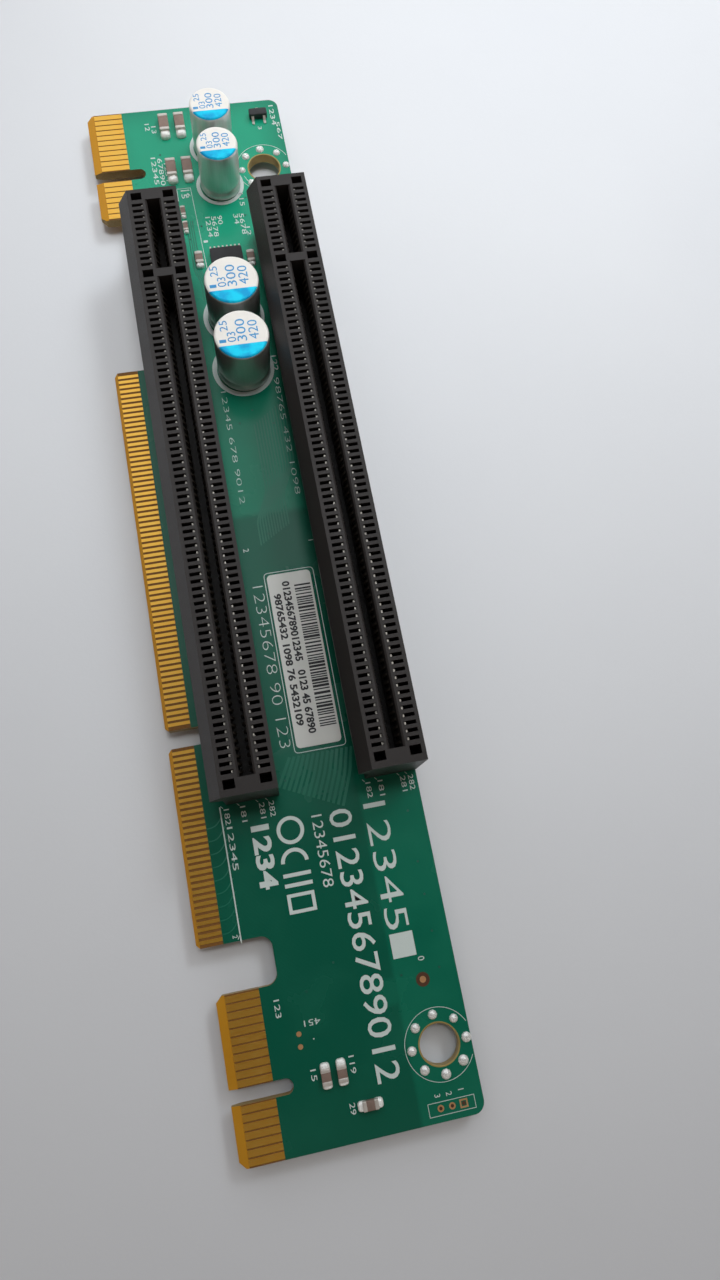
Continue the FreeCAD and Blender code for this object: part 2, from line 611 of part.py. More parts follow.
def chip_places():
    """Every two-ended chip: kind, middle across the board, middle along it, and its turn in degrees."""
    upper = value(UPPER_END)
    lower = value(LOWER_END)
    contact_1 = value(CONTACT_1)
    midline = value(MIDLINE)
    beside_a = value(SOCKET_A) + size("socket_width") / 2 + size("tiny_chip_wide") / 2 + 0.1
    upper_pair = (midline - 6.1, midline - 3.55)
    lower_pair = (midline - 6.05, midline - 3.95)
    places = [("large", x, upper - along, 0) for along in (3.5, 12.25) for x in upper_pair]
    places += [("large", x, lower + 8.45, 0) for x in lower_pair]
    places += [("small", midline - 4.15, contact_1 - 1.55, 0), ("small", midline + 3.9, contact_1 - 2.3, 0)]
    places += [("small", midline - 1.2, lower + 3.95, 90)]
    places += [("tiny", beside_a, contact_1 + 7.4, 0), ("tiny", beside_a, contact_1 + 4.55, 0)]
    return places


def make_chips():
    """The ceramic bodies and the metal ends of each chip size, a node of each."""
    board_top = size("solder_drop") + size("board_thick")
    made = []
    for kind in ("large", "small", "tiny"):
        long, wide, high, end = (size(f"{kind}_chip_{name}") for name in ("long", "wide", "high", "end"))
        bodies = []
        ends = []
        for place_kind, x, y, turn in chip_places():
            if place_kind != kind:
                continue
            place = Placement(Vector(x, y, board_top), Rotation(Vector(0, 0, 1), turn))
            core = Part.makeBox(wide, long - 2 * end, high, Vector(-wide / 2, -long / 2 + end, 0))
            bodies.append(core.transformed(place.Matrix))
            for start in (-long / 2, long / 2 - end):
                cap = Part.makeBox(wide, end, high, Vector(-wide / 2, start, 0))
                ends.append(cap.transformed(place.Matrix))
        for name, solids in (("bodies", bodies), ("ends", ends)):
            group = doc.addObject("Part::Feature", f"{kind}_chip_{name}")
            group.Label = f"{kind}_chip_{name}"
            group.Shape = Part.makeCompound(solids)
            made.append(group)
    return made


def gull_lead(wide, high):
    """A gull-wing lead that slopes down from half a body's height to a flat foot, along +Y."""
    thick = size("lead_thick")
    reach = size("lead_reach")
    bend = reach - size("lead_foot")
    middle = size("body_stand_off") + high / 2
    outline = [(0, middle + thick), (bend, thick), (reach, thick), (reach, 0), (bend - thick, 0), (0, middle)]
    points = [Vector(-wide / 2, y, z) for y, z in outline]
    return Part.Face(Part.makePolygon(points + points[:1])).extrude(Vector(wide, 0, 0))


def make_package(label, x, y, wide, deep, high, lead_wide, lead_rows):
    """A moulded package and its gull-wing leads; lead_rows holds (offset across, facing in degrees)."""
    board_top = size("solder_drop") + size("board_thick")
    stand_off = size("body_stand_off")
    body = doc.addObject("Part::Box", f"{label}_body")
    body.Label = f"{label}_body"
    body.Length = wide
    body.Width = deep
    body.Height = high
    body.Placement = Placement(Vector(x - wide / 2, y - deep / 2, board_top + stand_off), Rotation())
    leads = []
    for across, facing in lead_rows:
        lead = gull_lead(lead_wide, high)
        lead.translate(Vector(0, deep / 2, 0))
        lead.rotate(Vector(), Vector(0, 0, 1), facing)
        lead.translate(Vector(x + across, y, board_top))
        leads.append(lead)
    group = doc.addObject("Part::Feature", f"{label}_leads")
    group.Label = f"{label}_leads"
    group.Shape = Part.makeCompound(leads)
    return [body, group]


def make_packages():
    """The 16-lead logic chip and the 3-lead transistor."""
    count = int(size("logic_leads"))
    row = [(k - (count - 1) / 2) * size("logic_pitch") for k in range(count)]
    logic = make_package(
        "logic_chip", value(MIDLINE) + size("logic_across"), value(CONTACT_1) - size("logic_along"),
        size("logic_wide"), size("logic_deep"), size("logic_high"), size("lead_wide"),
        [(across, facing) for facing in (0, 180) for across in row])
    step = size("transistor_pitch")
    transistor = make_package(
        "transistor", value(RIGHT_EDGE) - size("transistor_inset"),
        value(UPPER_END) - size("transistor_from_end"), size("transistor_wide"),
        size("transistor_deep"), size("transistor_high"), size("transistor_lead_wide"),
        [(0, 0), (-step, 180), (step, 180)])
    return logic + transistor


def make_label():
    """The paper label between the sockets, with its corners cut."""
    body = new_body("label")
    outline = new_sketch(body, "label_outline", "XY_Plane", BOARD_TOP)
    draw_rectangle(outline, f"({MIDLINE} + Sizes.label_across)", along_socket("Sizes.label_along"),
                   "Sizes.label_wide", "Sizes.label_long")
    add_feature(body, "Pad", "paper", outline, "Sizes.label_thick")
    add_edge_finish(body, "Chamfer", "label_corners", pick_edges(body, is_upright), "Sizes.label_corner")
    return body


# ---------------------------------------------------------------- assembly

sub_parts = [make_board()]
sub_parts += make_all_fingers()
for socket in ("a", "b"):
    sub_parts.append(make_housing(socket))
    sub_parts += [make_contacts(socket, side) for side in ("left", "right")]
    sub_parts.append(make_socket_joints(socket))
sub_parts += make_capacitors()
sub_parts += make_chips()
sub_parts += make_packages()
sub_parts.append(make_label())
doc.recompute()

for item in doc.Objects:
    if "Invalid" in item.State or "Error" in item.State:
        raise RuntimeError(f"{item.Label} did not build: {item.State}")
for item in sub_parts:
    if item.Shape.isNull() or not item.Shape.isValid():
        raise RuntimeError(f"{item.Label} has no valid shape")

os.makedirs("parts", exist_ok=True)
for item in sub_parts:
    item.Shape.exportStep(f"parts/{item.Label}.step")
    print(item.Label, len(item.Shape.Solids), round(item.Shape.Volume, 3))
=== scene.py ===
import math
import bmesh
import bpy
import numpy as np
from mathutils import Matrix, Quaternion, Vector


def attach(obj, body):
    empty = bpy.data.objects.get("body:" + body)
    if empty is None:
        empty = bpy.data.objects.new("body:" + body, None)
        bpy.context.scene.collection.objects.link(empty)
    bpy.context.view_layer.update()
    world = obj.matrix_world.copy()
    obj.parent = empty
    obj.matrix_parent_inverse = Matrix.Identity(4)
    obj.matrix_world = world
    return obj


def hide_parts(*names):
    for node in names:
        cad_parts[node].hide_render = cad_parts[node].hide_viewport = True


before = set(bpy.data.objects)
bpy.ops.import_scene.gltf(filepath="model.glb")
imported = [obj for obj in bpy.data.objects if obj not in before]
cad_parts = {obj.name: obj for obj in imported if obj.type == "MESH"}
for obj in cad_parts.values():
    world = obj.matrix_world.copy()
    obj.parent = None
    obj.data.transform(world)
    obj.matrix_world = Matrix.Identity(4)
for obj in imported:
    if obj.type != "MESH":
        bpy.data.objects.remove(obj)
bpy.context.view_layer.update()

# ---------------------------------------------------------------------------------------------
# Circuit board: a 1.6 mm glass and resin laminate, routed to shape. Both faces are coated with
# glossy green solder mask over the copper. The tongues are left bare and bevelled, so their edges
# show the yellow laminate.
BOARD_TOP = 3.0
BOARD_BACK = 1.4
FAR_LEFT = -20.0
# Each tongue: its outer edge, its two ends, and how far its bare area and its bevel reach inward.
TONGUES = (
    (-14.95, 58.0, 80.0, 5.6, 1.2), (-14.95, -80.0, -58.5, 5.6, 1.2), (-16.4, -52.6, 31.6, 3.5, 0.5))
# Each area of copper under the mask: its bounds, the softness of its edge and how much it shows.
COPPER_AREAS = (
    (-13.0, 17.0, 45.0, 80.0, 6.0, 0.95), (-2.6, 8.2, 5.6, 27.0, 0.7, 0.3),
    (-2.6, 8.2, 25.0, 50.0, 4.0, 0.6), (8.0, 17.0, -80.0, -34.0, 0.4, 0.2),
    (4.8, 17.0, -64.0, -60.8, 0.4, 0.12))
WEAVE_TURN = 10.5  # radians for each mm, so one weave of the glass cloth in 0.6 mm


class Finish:
    """A Principled material in the making. Its calls add nodes and give back their sockets."""

    def __init__(self, name, settings):
        self.material = bpy.data.materials.new(name)
        self.material.use_nodes = True
        self.tree = self.material.node_tree
        self.shader = self.tree.nodes["Principled BSDF"]
        for socket, value in settings.items():
            self.shader.inputs[socket].default_value = value
        raw = self.add("ShaderNodeTexCoord").outputs["Object"]
        in_mm = self.add("ShaderNodeVectorMath", {0: raw, "Scale": 1000.0}, operation="SCALE")
        self.place = in_mm.outputs[0]
        split = self.add("ShaderNodeSeparateXYZ", {0: self.place}).outputs
        self.x, self.y, self.z = split

    def add(self, kind, inputs=None, **settings):
        """One node, with each input either linked from a socket or set to a value."""
        node = self.tree.nodes.new(kind)
        for key, value in settings.items():
            setattr(node, key, value)
        for key, value in (inputs or {}).items():
            if isinstance(value, bpy.types.NodeSocket):
                self.tree.links.new(value, node.inputs[key])
            else:
                node.inputs[key].default_value = value
        return node

    def calc(self, operation, a, b=0.0):
        """The Math node's result for a and b."""
        return self.add("ShaderNodeMath", {0: a, 1: b}, operation=operation).outputs[0]

    def rise(self, value, low, high):
        """A smooth step from 0 below low to 1 above high."""
        inputs = {"Value": value, "From Min": low, "From Max": high}
        return self.add("ShaderNodeMapRange", inputs, interpolation_type="SMOOTHSTEP").outputs[0]

    def band(self, value, low, high, soft):
        """1 between low and high, 0 outside, blurred by soft."""
        up = self.rise(value, low - soft, low + soft)
        down = self.rise(value, high - soft, high + soft)
        return self.calc("SUBTRACT", up, down)

    def patch(self, x0, x1, y0, y1, soft):
        """1 inside a rectangle of the card, 0 outside."""
        across, along = self.band(self.x, x0, x1, soft), self.band(self.y, y0, y1, soft)
        return self.calc("MULTIPLY", across, along)

    def most(self, *masks):
        """The largest of several masks."""
        result = masks[0]
        for mask in masks[1:]:
            result = self.calc("MAXIMUM", result, mask)
        return result

    def blend(self, share, first, second):
        """Colour first turning into colour second as share goes from 0 to 1."""
        node = self.add("ShaderNodeMix", data_type="RGBA")
        for socket, value in ((0, share), (6, first), (7, second)):
            if isinstance(value, bpy.types.NodeSocket):
                self.tree.links.new(value, node.inputs[socket])
            elif isinstance(value, tuple):
                node.inputs[socket].default_value = (*value, 1.0)
            else:
                node.inputs[socket].default_value = value
        return node.outputs[2]

    def grain(self, grain_mm, patch_mm):
        """Fine grain and broad patches, each from 0 to 1, from the shared group."""
        node = self.add("ShaderNodeGroup")
        node.node_tree = GRAIN
        self.tree.links.new(self.place, node.inputs["Place"])
        node.inputs["Grain Size"].default_value = grain_mm
        node.inputs["Patch Size"].default_value = patch_mm
        return node.outputs["Grain"], node.outputs["Patch"]

    def emboss(self, height, depth_mm):
        """A Bump node from a height of 0 to 1, into the shader's Normal."""
        node = self.add("ShaderNodeBump", {"Height": height, "Distance": depth_mm / 1000})
        self.tree.links.new(node.outputs[0], self.shader.inputs["Normal"])

    def streaks(self, stretch, detail):
        """Noise drawn out along one direction: stretch is its turns for each mm along x, y and z."""
        drawn = self.add("ShaderNodeVectorMath", {0: self.place, 1: stretch}, operation="MULTIPLY")
        inputs = {"Vector": drawn.outputs[0], "Scale": 1.0, "Detail": detail}
        return self.add("ShaderNodeTexNoise", inputs).outputs[0]

    def feed(self, socket, value):
        """Link a value that changes over the surface to a socket of the shader."""
        self.tree.links.new(value, self.shader.inputs[socket])

    def feed_rough(self, height, spread, least):
        """Roughness that runs from least up by spread as height goes from 0 to 1."""
        self.feed("Roughness", self.calc("ADD", self.calc("MULTIPLY", height, spread), least))


def make_grain_group():
    """Noise at two sizes: a fine grain and broad patches, both from 0 to 1."""
    group = bpy.data.node_groups.new("grain_and_patches", "ShaderNodeTree")
    group.interface.new_socket("Place", in_out="INPUT", socket_type="NodeSocketVector")
    group.interface.new_socket("Grain Size", in_out="INPUT", socket_type="NodeSocketFloat")
    group.interface.new_socket("Patch Size", in_out="INPUT", socket_type="NodeSocketFloat")
    group.interface.new_socket("Grain", in_out="OUTPUT", socket_type="NodeSocketFloat")
    group.interface.new_socket("Patch", in_out="OUTPUT", socket_type="NodeSocketFloat")
    start = group.nodes.new("NodeGroupInput")
    end = group.nodes.new("NodeGroupOutput")
    for name, detail in (("Grain", 2.0), ("Patch", 4.0)):
        scale = group.nodes.new("ShaderNodeMath")
        scale.operation = "DIVIDE"
        scale.inputs[0].default_value = 1.0
        group.links.new(start.outputs[f"{name} Size"], scale.inputs[1])
        noise = group.nodes.new("ShaderNodeTexNoise")
        noise.inputs["Detail"].default_value = detail
        group.links.new(start.outputs["Place"], noise.inputs["Vector"])
        group.links.new(scale.outputs[0], noise.inputs["Scale"])
        group.links.new(noise.outputs[0], end.inputs[name])
    return group


GRAIN = make_grain_group()


def make_board_finish():
    """Solder mask, bare laminate, bevels and routed edges, told apart by their places."""
    f = Finish("green_solder_mask", {"Specular IOR Level": 0.33, "Coat Roughness": 0.15})
    grain, patch = f.grain(0.35, 9.0)
    copper = f.most(*[
        f.calc("MULTIPLY", f.patch(*bounds, soft), share) for *bounds, soft, share in COPPER_AREAS])
    tone = f.calc("ADD", copper, f.calc("MULTIPLY", f.calc("SUBTRACT", patch, 0.5), 0.3))
    mask_colour = f.blend(tone, (0.001, 0.084, 0.049), (0.008, 0.28, 0.158))
    # The glass cloth shows faintly through the bare resin: sin x times sin y.
    warp = f.calc("SINE", f.calc("MULTIPLY", f.x, WEAVE_TURN))
    weft = f.calc("SINE", f.calc("MULTIPLY", f.y, WEAVE_TURN))
    weave = f.calc("ADD", f.calc("MULTIPLY", f.calc("MULTIPLY", warp, weft), 0.5), 0.5)
    bare = f.most(*[
        f.patch(FAR_LEFT, edge + depth, low, high, 0.03) for edge, low, high, depth, _ in TONGUES])
    resin = f.blend(f.calc("MULTIPLY", weave, patch), (0.15, 0.062, 0.011), (0.23, 0.105, 0.022))
    bevel = f.most(*[
        f.patch(FAR_LEFT, edge + depth, low, high, 0.04) for edge, low, high, _, depth in TONGUES])
    milled = f.blend(patch, (0.40, 0.17, 0.006), (0.55, 0.26, 0.012))
    routed = f.blend(grain, (0.20, 0.13, 0.04), (0.36, 0.26, 0.10))
    normal = f.add("ShaderNodeNewGeometry").outputs["Normal"]
    facing_up = f.calc("ABSOLUTE", f.add("ShaderNodeSeparateXYZ", {0: normal}).outputs[2])
    upright = f.calc("SUBTRACT", 1.0, f.rise(facing_up, 0.3, 0.5))
    colour = f.blend(bare, mask_colour, resin)
    colour = f.blend(bevel, colour, milled)
    colour = f.blend(upright, colour, routed)
    f.feed("Base Color", colour)
    rough_area = f.most(bare, upright)
    f.feed("Coat Weight", f.calc("MULTIPLY", f.calc("SUBTRACT", 1.0, rough_area), 0.15))
    f.feed_rough(patch, 0.45, f.calc("MULTIPLY", rough_area, 0.3))
    f.emboss(f.calc("ADD", f.calc("MULTIPLY", weave, 0.3), f.calc("MULTIPLY", grain, 0.7)), 0.012)
    return f


def give(node, finish):
    """Put a finish on a CAD node that keeps its own shape."""
    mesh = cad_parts[node].data
    mesh.materials.clear()
    mesh.materials.append(finish.material)


give("circuit_board", make_board_finish())

# ---------------------------------------------------------------------------------------------
# Copper traces and vias: etched copper that shows through the mask as lighter green ridges. They
# run in bundles between the sockets and fan out under them. The vias are small covered dimples.
SHARP_DEGREES = 38
TRACE_ROUNDING = 0.9
TRACE_LOW = BOARD_TOP - 0.02
TRACE_TOP = BOARD_TOP + 0.008
# Each bundle: corners of its first trace, corners of its last, how many there are, and their width.
BUNDLES = (
    ([(7.9, 23.5), (7.9, 13.5), (5.4, 8.2), (5.4, 3.4)],
     [(3.0, 20.0), (3.0, 9.0), (0.9, 4.6), (0.9, 0.8)], 12, 0.2),
    ([(8.2, -30.2), (7.4, -33.6), (5.6, -38.0)], [(-0.4, -30.2), (-1.4, -32.0), (-2.5, -34.0)], 14, 0.4),
    ([(-10.4, -36.0), (-11.6, -37.6), (-12.8, -37.6)],
     [(-10.4, -49.6), (-11.6, -51.2), (-12.8, -51.2)], 9, 0.16),
    ([(-1.9, 56.8), (-1.9, 47.5), (-1.2, 45.5), (-1.2, 42.0)],
     [(-0.9, 56.8), (-0.9, 47.5), (-0.2, 45.5), (-0.2, 42.0)], 4, 0.16))
VIAS = (
    (14.15, -40.25), (14.1, -47.05), (14.1, -51.35), (14.1, -56.1), (14.1, -60.7), (9.0, -60.7),
    (9.05, -47.1), (0.9, 20.5), (3.1, 22.4), (5.9, 19.8), (2.2, 2.4), (-1.65, 53.4), (0.4, 55.6),
    (7.6, 56.8), (8.2, 60.1), (-5.0, 60.4), (-4.2, 69.9), (-1.5, -33.2), (0.6, -57.4), (-3.4, -60.2))


def lattice(rows, columns, close_rows=False):
    """Quads that join rows of points, each row a closed ring: corner number row * columns + column."""
    row = np.arange(rows if close_rows else rows - 1)[:, None]
    column = np.arange(columns)[None, :]
    next_row = (row + 1) % rows
    next_column = (column + 1) % columns
    return np.stack([
        row * columns + column, row * columns + next_column, next_row * columns + next_column,
        next_row * columns + column], -1).reshape(-1, 4)


def capped(rows, columns):
    """The sides of a body made of rings, and a flat face over its first and its last ring."""
    first = list(range(columns))
    last = [columns * (rows - 1) + corner for corner in first]
    return lattice(rows, columns).tolist() + [first[::-1], last]


def flipped(faces):
    """The same faces, turned to look the other way."""
    return [face[::-1] for face in faces]


def add_piece(name, points, faces, finish, slot, stands_for=()):
    """A mesh object from points in millimetres and lists of corner numbers.

    Edges sharper than SHARP_DEGREES stay crisp, and all others are shaded smooth.
    """
    mesh = bpy.data.meshes.new(name)
    mesh.from_pydata((np.asarray(points) / 1000).tolist(), [], [list(map(int, face)) for face in faces])
    mesh.validate()
    mesh.shade_smooth()
    mesh.set_sharp_from_angle(angle=math.radians(SHARP_DEGREES))
    mesh.materials.append(finish.material)
    piece = bpy.data.objects.new(name, mesh)
    bpy.context.scene.collection.objects.link(piece)
    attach(piece, "root")
    if stands_for:
        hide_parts(*stands_for)
    return piece


def gather(parts):
    """Several (points, faces) shapes as one."""
    points, faces, total = [], [], 0
    for part_points, part_faces in parts:
        points.append(np.asarray(part_points, float))
        faces += [[int(corner) + total for corner in face] for face in part_faces]
        total += len(part_points)
    return np.concatenate(points), faces


def ribbon(path, width, low, high):
    """A flat strip along a path in the plane: width/2 to each side, square to its direction."""
    path = np.asarray(path, float)
    along = np.gradient(path, axis=0)
    along /= np.linalg.norm(along, axis=1, keepdims=True)
    side = np.stack([-along[:, 1], along[:, 0]], -1) * width / 2
    ring = [(path + side, low), (path - side, low), (path - side, high), (path + side, high)]
    points = np.stack([np.column_stack([xy, np.full(len(xy), z)]) for xy, z in ring], 1)
    return points.reshape(-1, 3), flipped(capped(len(path), 4))


def eased_path(corners, rounding, steps=5):
    """A polyline whose inner corners are quadratic curves, each starting rounding before its corner."""
    corners = np.asarray(corners, float)
    path = [corners[:1]]
    t = np.linspace(0, 1, steps)[:, None]
    for before, corner, after in zip(corners[:-2], corners[1:-1], corners[2:]):
        start = corner + (before - corner) / np.linalg.norm(before - corner) * rounding
        end = corner + (after - corner) / np.linalg.norm(after - corner) * rounding
        path.append((1 - t) ** 2 * start + 2 * t * (1 - t) * corner + t ** 2 * end)
    path.append(corners[-1:])
    return np.concatenate(path)


def trace_bundles():
    """Every trace of every bundle, in even steps from the bundle's first route to its last."""
    return [ribbon(eased_path(corners, TRACE_ROUNDING), width, TRACE_LOW, TRACE_TOP)
            for first, last, count, width in BUNDLES for corners in np.linspace(first, last, count)]


def disc(x, y, low, high, radius, columns=16, inner=0.0):
    """A flat round or ring between two heights: radius cos a, radius sin a."""
    a = np.linspace(0, 2 * np.pi, columns, endpoint=False)
    rings = [(radius, low), (radius, high)]
    if inner:
        rings = [(inner, low), *rings, (inner, high)]
    points = np.concatenate([
        np.column_stack([x + r * np.cos(a), y + r * np.sin(a), np.full(columns, z)]) for r, z in rings])
    if inner:
        return points, lattice(4, columns, close_rows=True)
    return points, capped(2, columns)


def speckled(name, settings, sizes, colours, depth_mm):
    """A finish with two tones in broad patches and a fine raised grain.

    Sizes are those of the grain and of the patches in mm, and depth_mm is how deep the grain goes.
    """
    finish = Finish(name, settings)
    finish.fine, finish.broad = finish.grain(*sizes)
    finish.feed("Base Color", finish.blend(finish.broad, *colours))
    finish.emboss(finish.fine, depth_mm)
    return finish


trace_finish = speckled(
    "green_over_copper", {"Roughness": 0.32, "Coat Weight": 0.15, "Coat Roughness": 0.15}, (0.3, 6.0),
    ((0.0015, 0.105, 0.061), (0.004, 0.135, 0.08)), 0.006)
add_piece("copper_traces", *gather(trace_bundles()), trace_finish, "board")

via_finish = speckled(
    "via_dimples", {"Roughness": 0.35}, (0.2, 3.0), ((0.002, 0.05, 0.032), (0.006, 0.09, 0.055)), 0.01)
dimples = [disc(x, y, BOARD_TOP - 0.05, BOARD_TOP + 0.012, 0.17, 10) for x, y in VIAS]
add_piece("vias", *gather(dimples), via_finish, "board")

# ---------------------------------------------------------------------------------------------
# Gold fingers: thin plated copper pads on both faces of the tongues. They are flat, with faint
# brush marks along their length and light rubs where they wipe past the contacts.
gold_finish = Finish("gold_plating", {"Metallic": 1.0})
gold_grain, gold_patch = gold_finish.grain(0.12, 5.0)
rub_lines = gold_finish.streaks((0.6, 14.0, 1.0), 3.0)
gold_tone = gold_finish.blend(gold_patch, (0.98, 0.50, 0.07), (1.0, 0.62, 0.12))
rubbed = gold_finish.rise(rub_lines, 0.5, 0.75)
gold_finish.feed("Base Color", gold_finish.blend(rubbed, gold_tone, (1.0, 0.64, 0.16)))
gold_finish.feed_rough(rub_lines, 0.25, 0.22)
gold_finish.emboss(gold_finish.calc("ADD", gold_grain, rub_lines), 0.004)
for tongue in ("upper", "long", "lower"):
    for side in ("component_side", "solder_side"):
        give(f"{tongue}_fingers_{side}", gold_finish)

# ---------------------------------------------------------------------------------------------
# Silkscreen: white epoxy ink, printed after the mask. Outlines and plain marks only: capacitor
# rings, hole rings, the header frame, pin counts, and plain digits and shapes as generic print.
INK_LOW = BOARD_TOP - 0.01
INK_HIGH = BOARD_TOP + 0.03
DIGIT_SHARE = 0.7  # height of a digit as a share of its type's size
WELD = 0.002  # corners of a digit's outline that are closer than this are one
SMALL_CANS = ((4.6, 70.35), (4.6, 62.95))
LARGE_CANS = ((3.05, 38.65), (3.05, 29.55))
MOUNTING_HOLES = ((12.1, 65.45), (12.1, -69.8))


def numerals(text, x, y, height, length=None, weight=0.0, turn_degrees=-90, low=INK_LOW, high=INK_HIGH):
    """Plain digits as a flat shape, turned by a: (x cos a - y sin a, x sin a + y cos a).

    Their lower left corner is at x, y. Length stretches the row to fit, and weight thickens every
    stroke by that much on each side.
    """
    curve = bpy.data.curves.new("numerals", "FONT")
    curve.body = text
    curve.size = height / DIGIT_SHARE
    curve.offset = weight
    curve.resolution_u = 3
    curve.extrude = (high - low) / 2
    text_object = bpy.data.objects.new("numerals", curve)
    mesh = bpy.data.meshes.new_from_object(text_object)
    outline = bmesh.new()
    outline.from_mesh(mesh)
    bmesh.ops.remove_doubles(outline, verts=outline.verts, dist=WELD)
    bmesh.ops.dissolve_degenerate(outline, edges=outline.edges, dist=WELD)
    bmesh.ops.recalc_face_normals(outline, faces=outline.faces)
    outline.to_mesh(mesh)
    outline.free()
    flat = np.zeros(len(mesh.vertices) * 3, np.float32)
    mesh.vertices.foreach_get("co", flat)
    points = flat.reshape(-1, 3).astype(float)
    points[:, 0] -= points[:, 0].min()
    if length:
        points[:, 0] *= length / points[:, 0].max()
    a = math.radians(turn_degrees)
    turned = points[:, :2] @ np.array([[math.cos(a), math.sin(a)], [-math.sin(a), math.cos(a)]])
    faces = [list(polygon.vertices) for polygon in mesh.polygons]
    bpy.data.objects.remove(text_object)
    bpy.data.curves.remove(curve)
    bpy.data.meshes.remove(mesh)
    return np.column_stack([turned + (x, y), points[:, 2] + (low + high) / 2]), faces


def line(points, width):
    """A straight or bent stroke of ink."""
    return ribbon(points, width, INK_LOW, INK_HIGH)


def frame_ring(x0, x1, y0, y1, width, low=INK_LOW, high=INK_HIGH):
    """The outline of a rectangle as one closed ring: its corners moved out and in by width/2."""
    corners = np.array([(x0, y0), (x1, y0), (x1, y1), (x0, y1)])
    away = np.array([(-1, -1), (1, -1), (1, 1), (-1, 1)]) * width / 2
    rings = ((-1, low), (1, low), (1, high), (-1, high))
    points = np.concatenate([
        np.column_stack([corners + way * away, np.full(4, z)]) for way, z in rings])
    return points, lattice(4, 4, close_rows=True)


def arc(x, y, radius, start, end, width, steps=28):
    """Part of a ring, from start to end in degrees."""
    a = np.radians(np.linspace(start, end, steps))
    return line(np.column_stack([x + radius * np.cos(a), y + radius * np.sin(a)]), width)


# Rings round the mounting holes and under the cans.
ink = []
for x, y in MOUNTING_HOLES:
    ink.append(arc(x, y, 4.46, 27, 333, 0.07, 72))
for x, y in SMALL_CANS:
    ink.append(disc(x - 0.1, y, INK_LOW, INK_HIGH, 3.8, 56, inner=3.2))
for x, y in LARGE_CANS:
    ink.append(disc(x - 0.15, y, INK_LOW, INK_HIGH, 4.7, 64, inner=4.0))
# The header: a frame and three counts.
ink.append(frame_ring(9.15, 15.15, -77.95, -76.4, 0.07))
ink += [numerals(digit, x, -75.45, 0.75) for digit, x in (("3", 10.2), ("2", 11.7), ("1", 13.3))]
# Pin counts at the lower end of each socket, with their small hooks.
for places in ((-10.25, -8.05, -5.5, -4.2), (9.15, 10.85, 14.0, 15.1)):
    for text, x in zip(("182", "181", "281", "282"), places):
        ink.append(numerals(text, x, -35.5, 0.72, 2.1))
        ink.append(line([(x - 0.35, -35.02), (x - 0.05, -35.35)], 0.07))
# Plain shapes on the open lower part of the card.
ink += [
    line([(9.95, -55.5), (9.95, -58.6)], 3.1),
    disc(-1.95, -39.8, INK_LOW, INK_HIGH, 1.85, 40, inner=1.35),
    arc(-2.05, -44.0, 1.6, 0, 180, 0.5),
    line([(-3.9, -45.6), (-0.2, -45.6)], 0.5),
    line([(-3.9, -46.9), (-0.2, -46.9)], 0.5),
    frame_ring(-3.65, -0.45, -50.3, -48.2, 0.45),
    line([(-10.72, -35.1), (-10.6, -52.7)], 0.17),
    line([(-10.6, -51.6), (-10.95, -52.2)], 0.1),
    disc(-3.5, -65.9, INK_LOW, INK_HIGH, 0.1, 8)]
# The outline that the label is stuck inside, and lines round the parts near the upper end.
label_frame = [(4.0, -3.6), (7.6, -3.6), (7.6, -29.85), (0.45, -29.85), (0.45, -3.6), (4.05, -3.6)]
ink.append(line(eased_path(label_frame, 0.6), 0.1))
ink += [line([(-2.5, 60.7), (-2.5, 63.0)], 0.08), line([(-2.54, 63.0), (-0.3, 63.0)], 0.08),
        line([(-0.3, 63.04), (0.1, 47.8)], 0.08), line([(8.6, 64.2), (9.4, 62.6)], 0.08)]
# Rows of plain digits: x, y, height, and where needed the row's length, its weight and its turn.
for text, *measures in (
        # the lower part
        ("12345", 8.25, -38.3, 3.15, 16.7, -0.03), ("0", 11.55, -58.9, 0.85),
        ("0123456789012", 3.5, -38.3, 3.05, 34.5, 0.02), ("12345678", 1.1, -38.5, 1.45, 9.5, -0.01),
        ("1234", -7.0, -38.4, 2.25, 8.4, 0.11), ("12345", -10.2, -37.9, 0.75, 5.7),
        ("2", -11.6, -51.6, 0.65), ("123", -7.75, -60.4, 0.72, 2.2),
        ("451", -2.3, -63.55, 0.75, 2.1, 0.0, 180), ("15", -4.6, -69.4, 0.72, 1.35),
        ("119", 0.4, -68.8, 0.7, 2.1), ("29", -0.5, -74.2, 0.7, 1.35),
        # between the sockets
        ("12345678 90 123", -1.45, -5.3, 1.6, 23.5, -0.06),
        ("12345 678 9012", -1.1, 26.1, 0.8, 18.5, -0.025),
        ("98765 432 1098", 7.15, 27.3, 0.8, 19.4, -0.025),
        ("122", 7.4, 31.1, 0.8, 2.6), ("2", -1.8, 0.6, 0.8), ("1", 7.75, 0.5, 0.8),
        # the upper part
        ("12", -5.9, 76.2, 0.75, 1.4), ("13", -4.9, 75.6, 0.75, 1.4), ("12345", -5.8, 69.5, 0.75, 5.2),
        ("67890", -4.8, 69.2, 0.75, 5.2), ("1234", -3.85, 68.2, 0.7, 3.6), ("15", -1.9, 62.7, 0.8, 1.6),
        ("16", -1.1, 62.7, 0.6, 1.5), ("115", 7.1, 61.0, 0.75, 2.4), ("1234", 1.2, 57.2, 0.75, 3.8),
        ("5678", 2.15, 57.2, 0.75, 3.8), ("90", 3.1, 57.2, 0.75, 1.6), ("34", 5.7, 57.2, 0.75, 1.9),
        ("5678", 6.6, 57.2, 0.75, 3.9), ("12", 7.4, 54.6, 0.6, 1.6), ("1234", 14.8, 77.6, 0.75, 4.0),
        ("567", 15.45, 74.2, 0.6, 3.6), ("1", 0.3, 52.9, 0.7, 0.4), ("3", 12.4, 73.6, 0.6, 0.6)):
    ink.append(numerals(text, *measures))

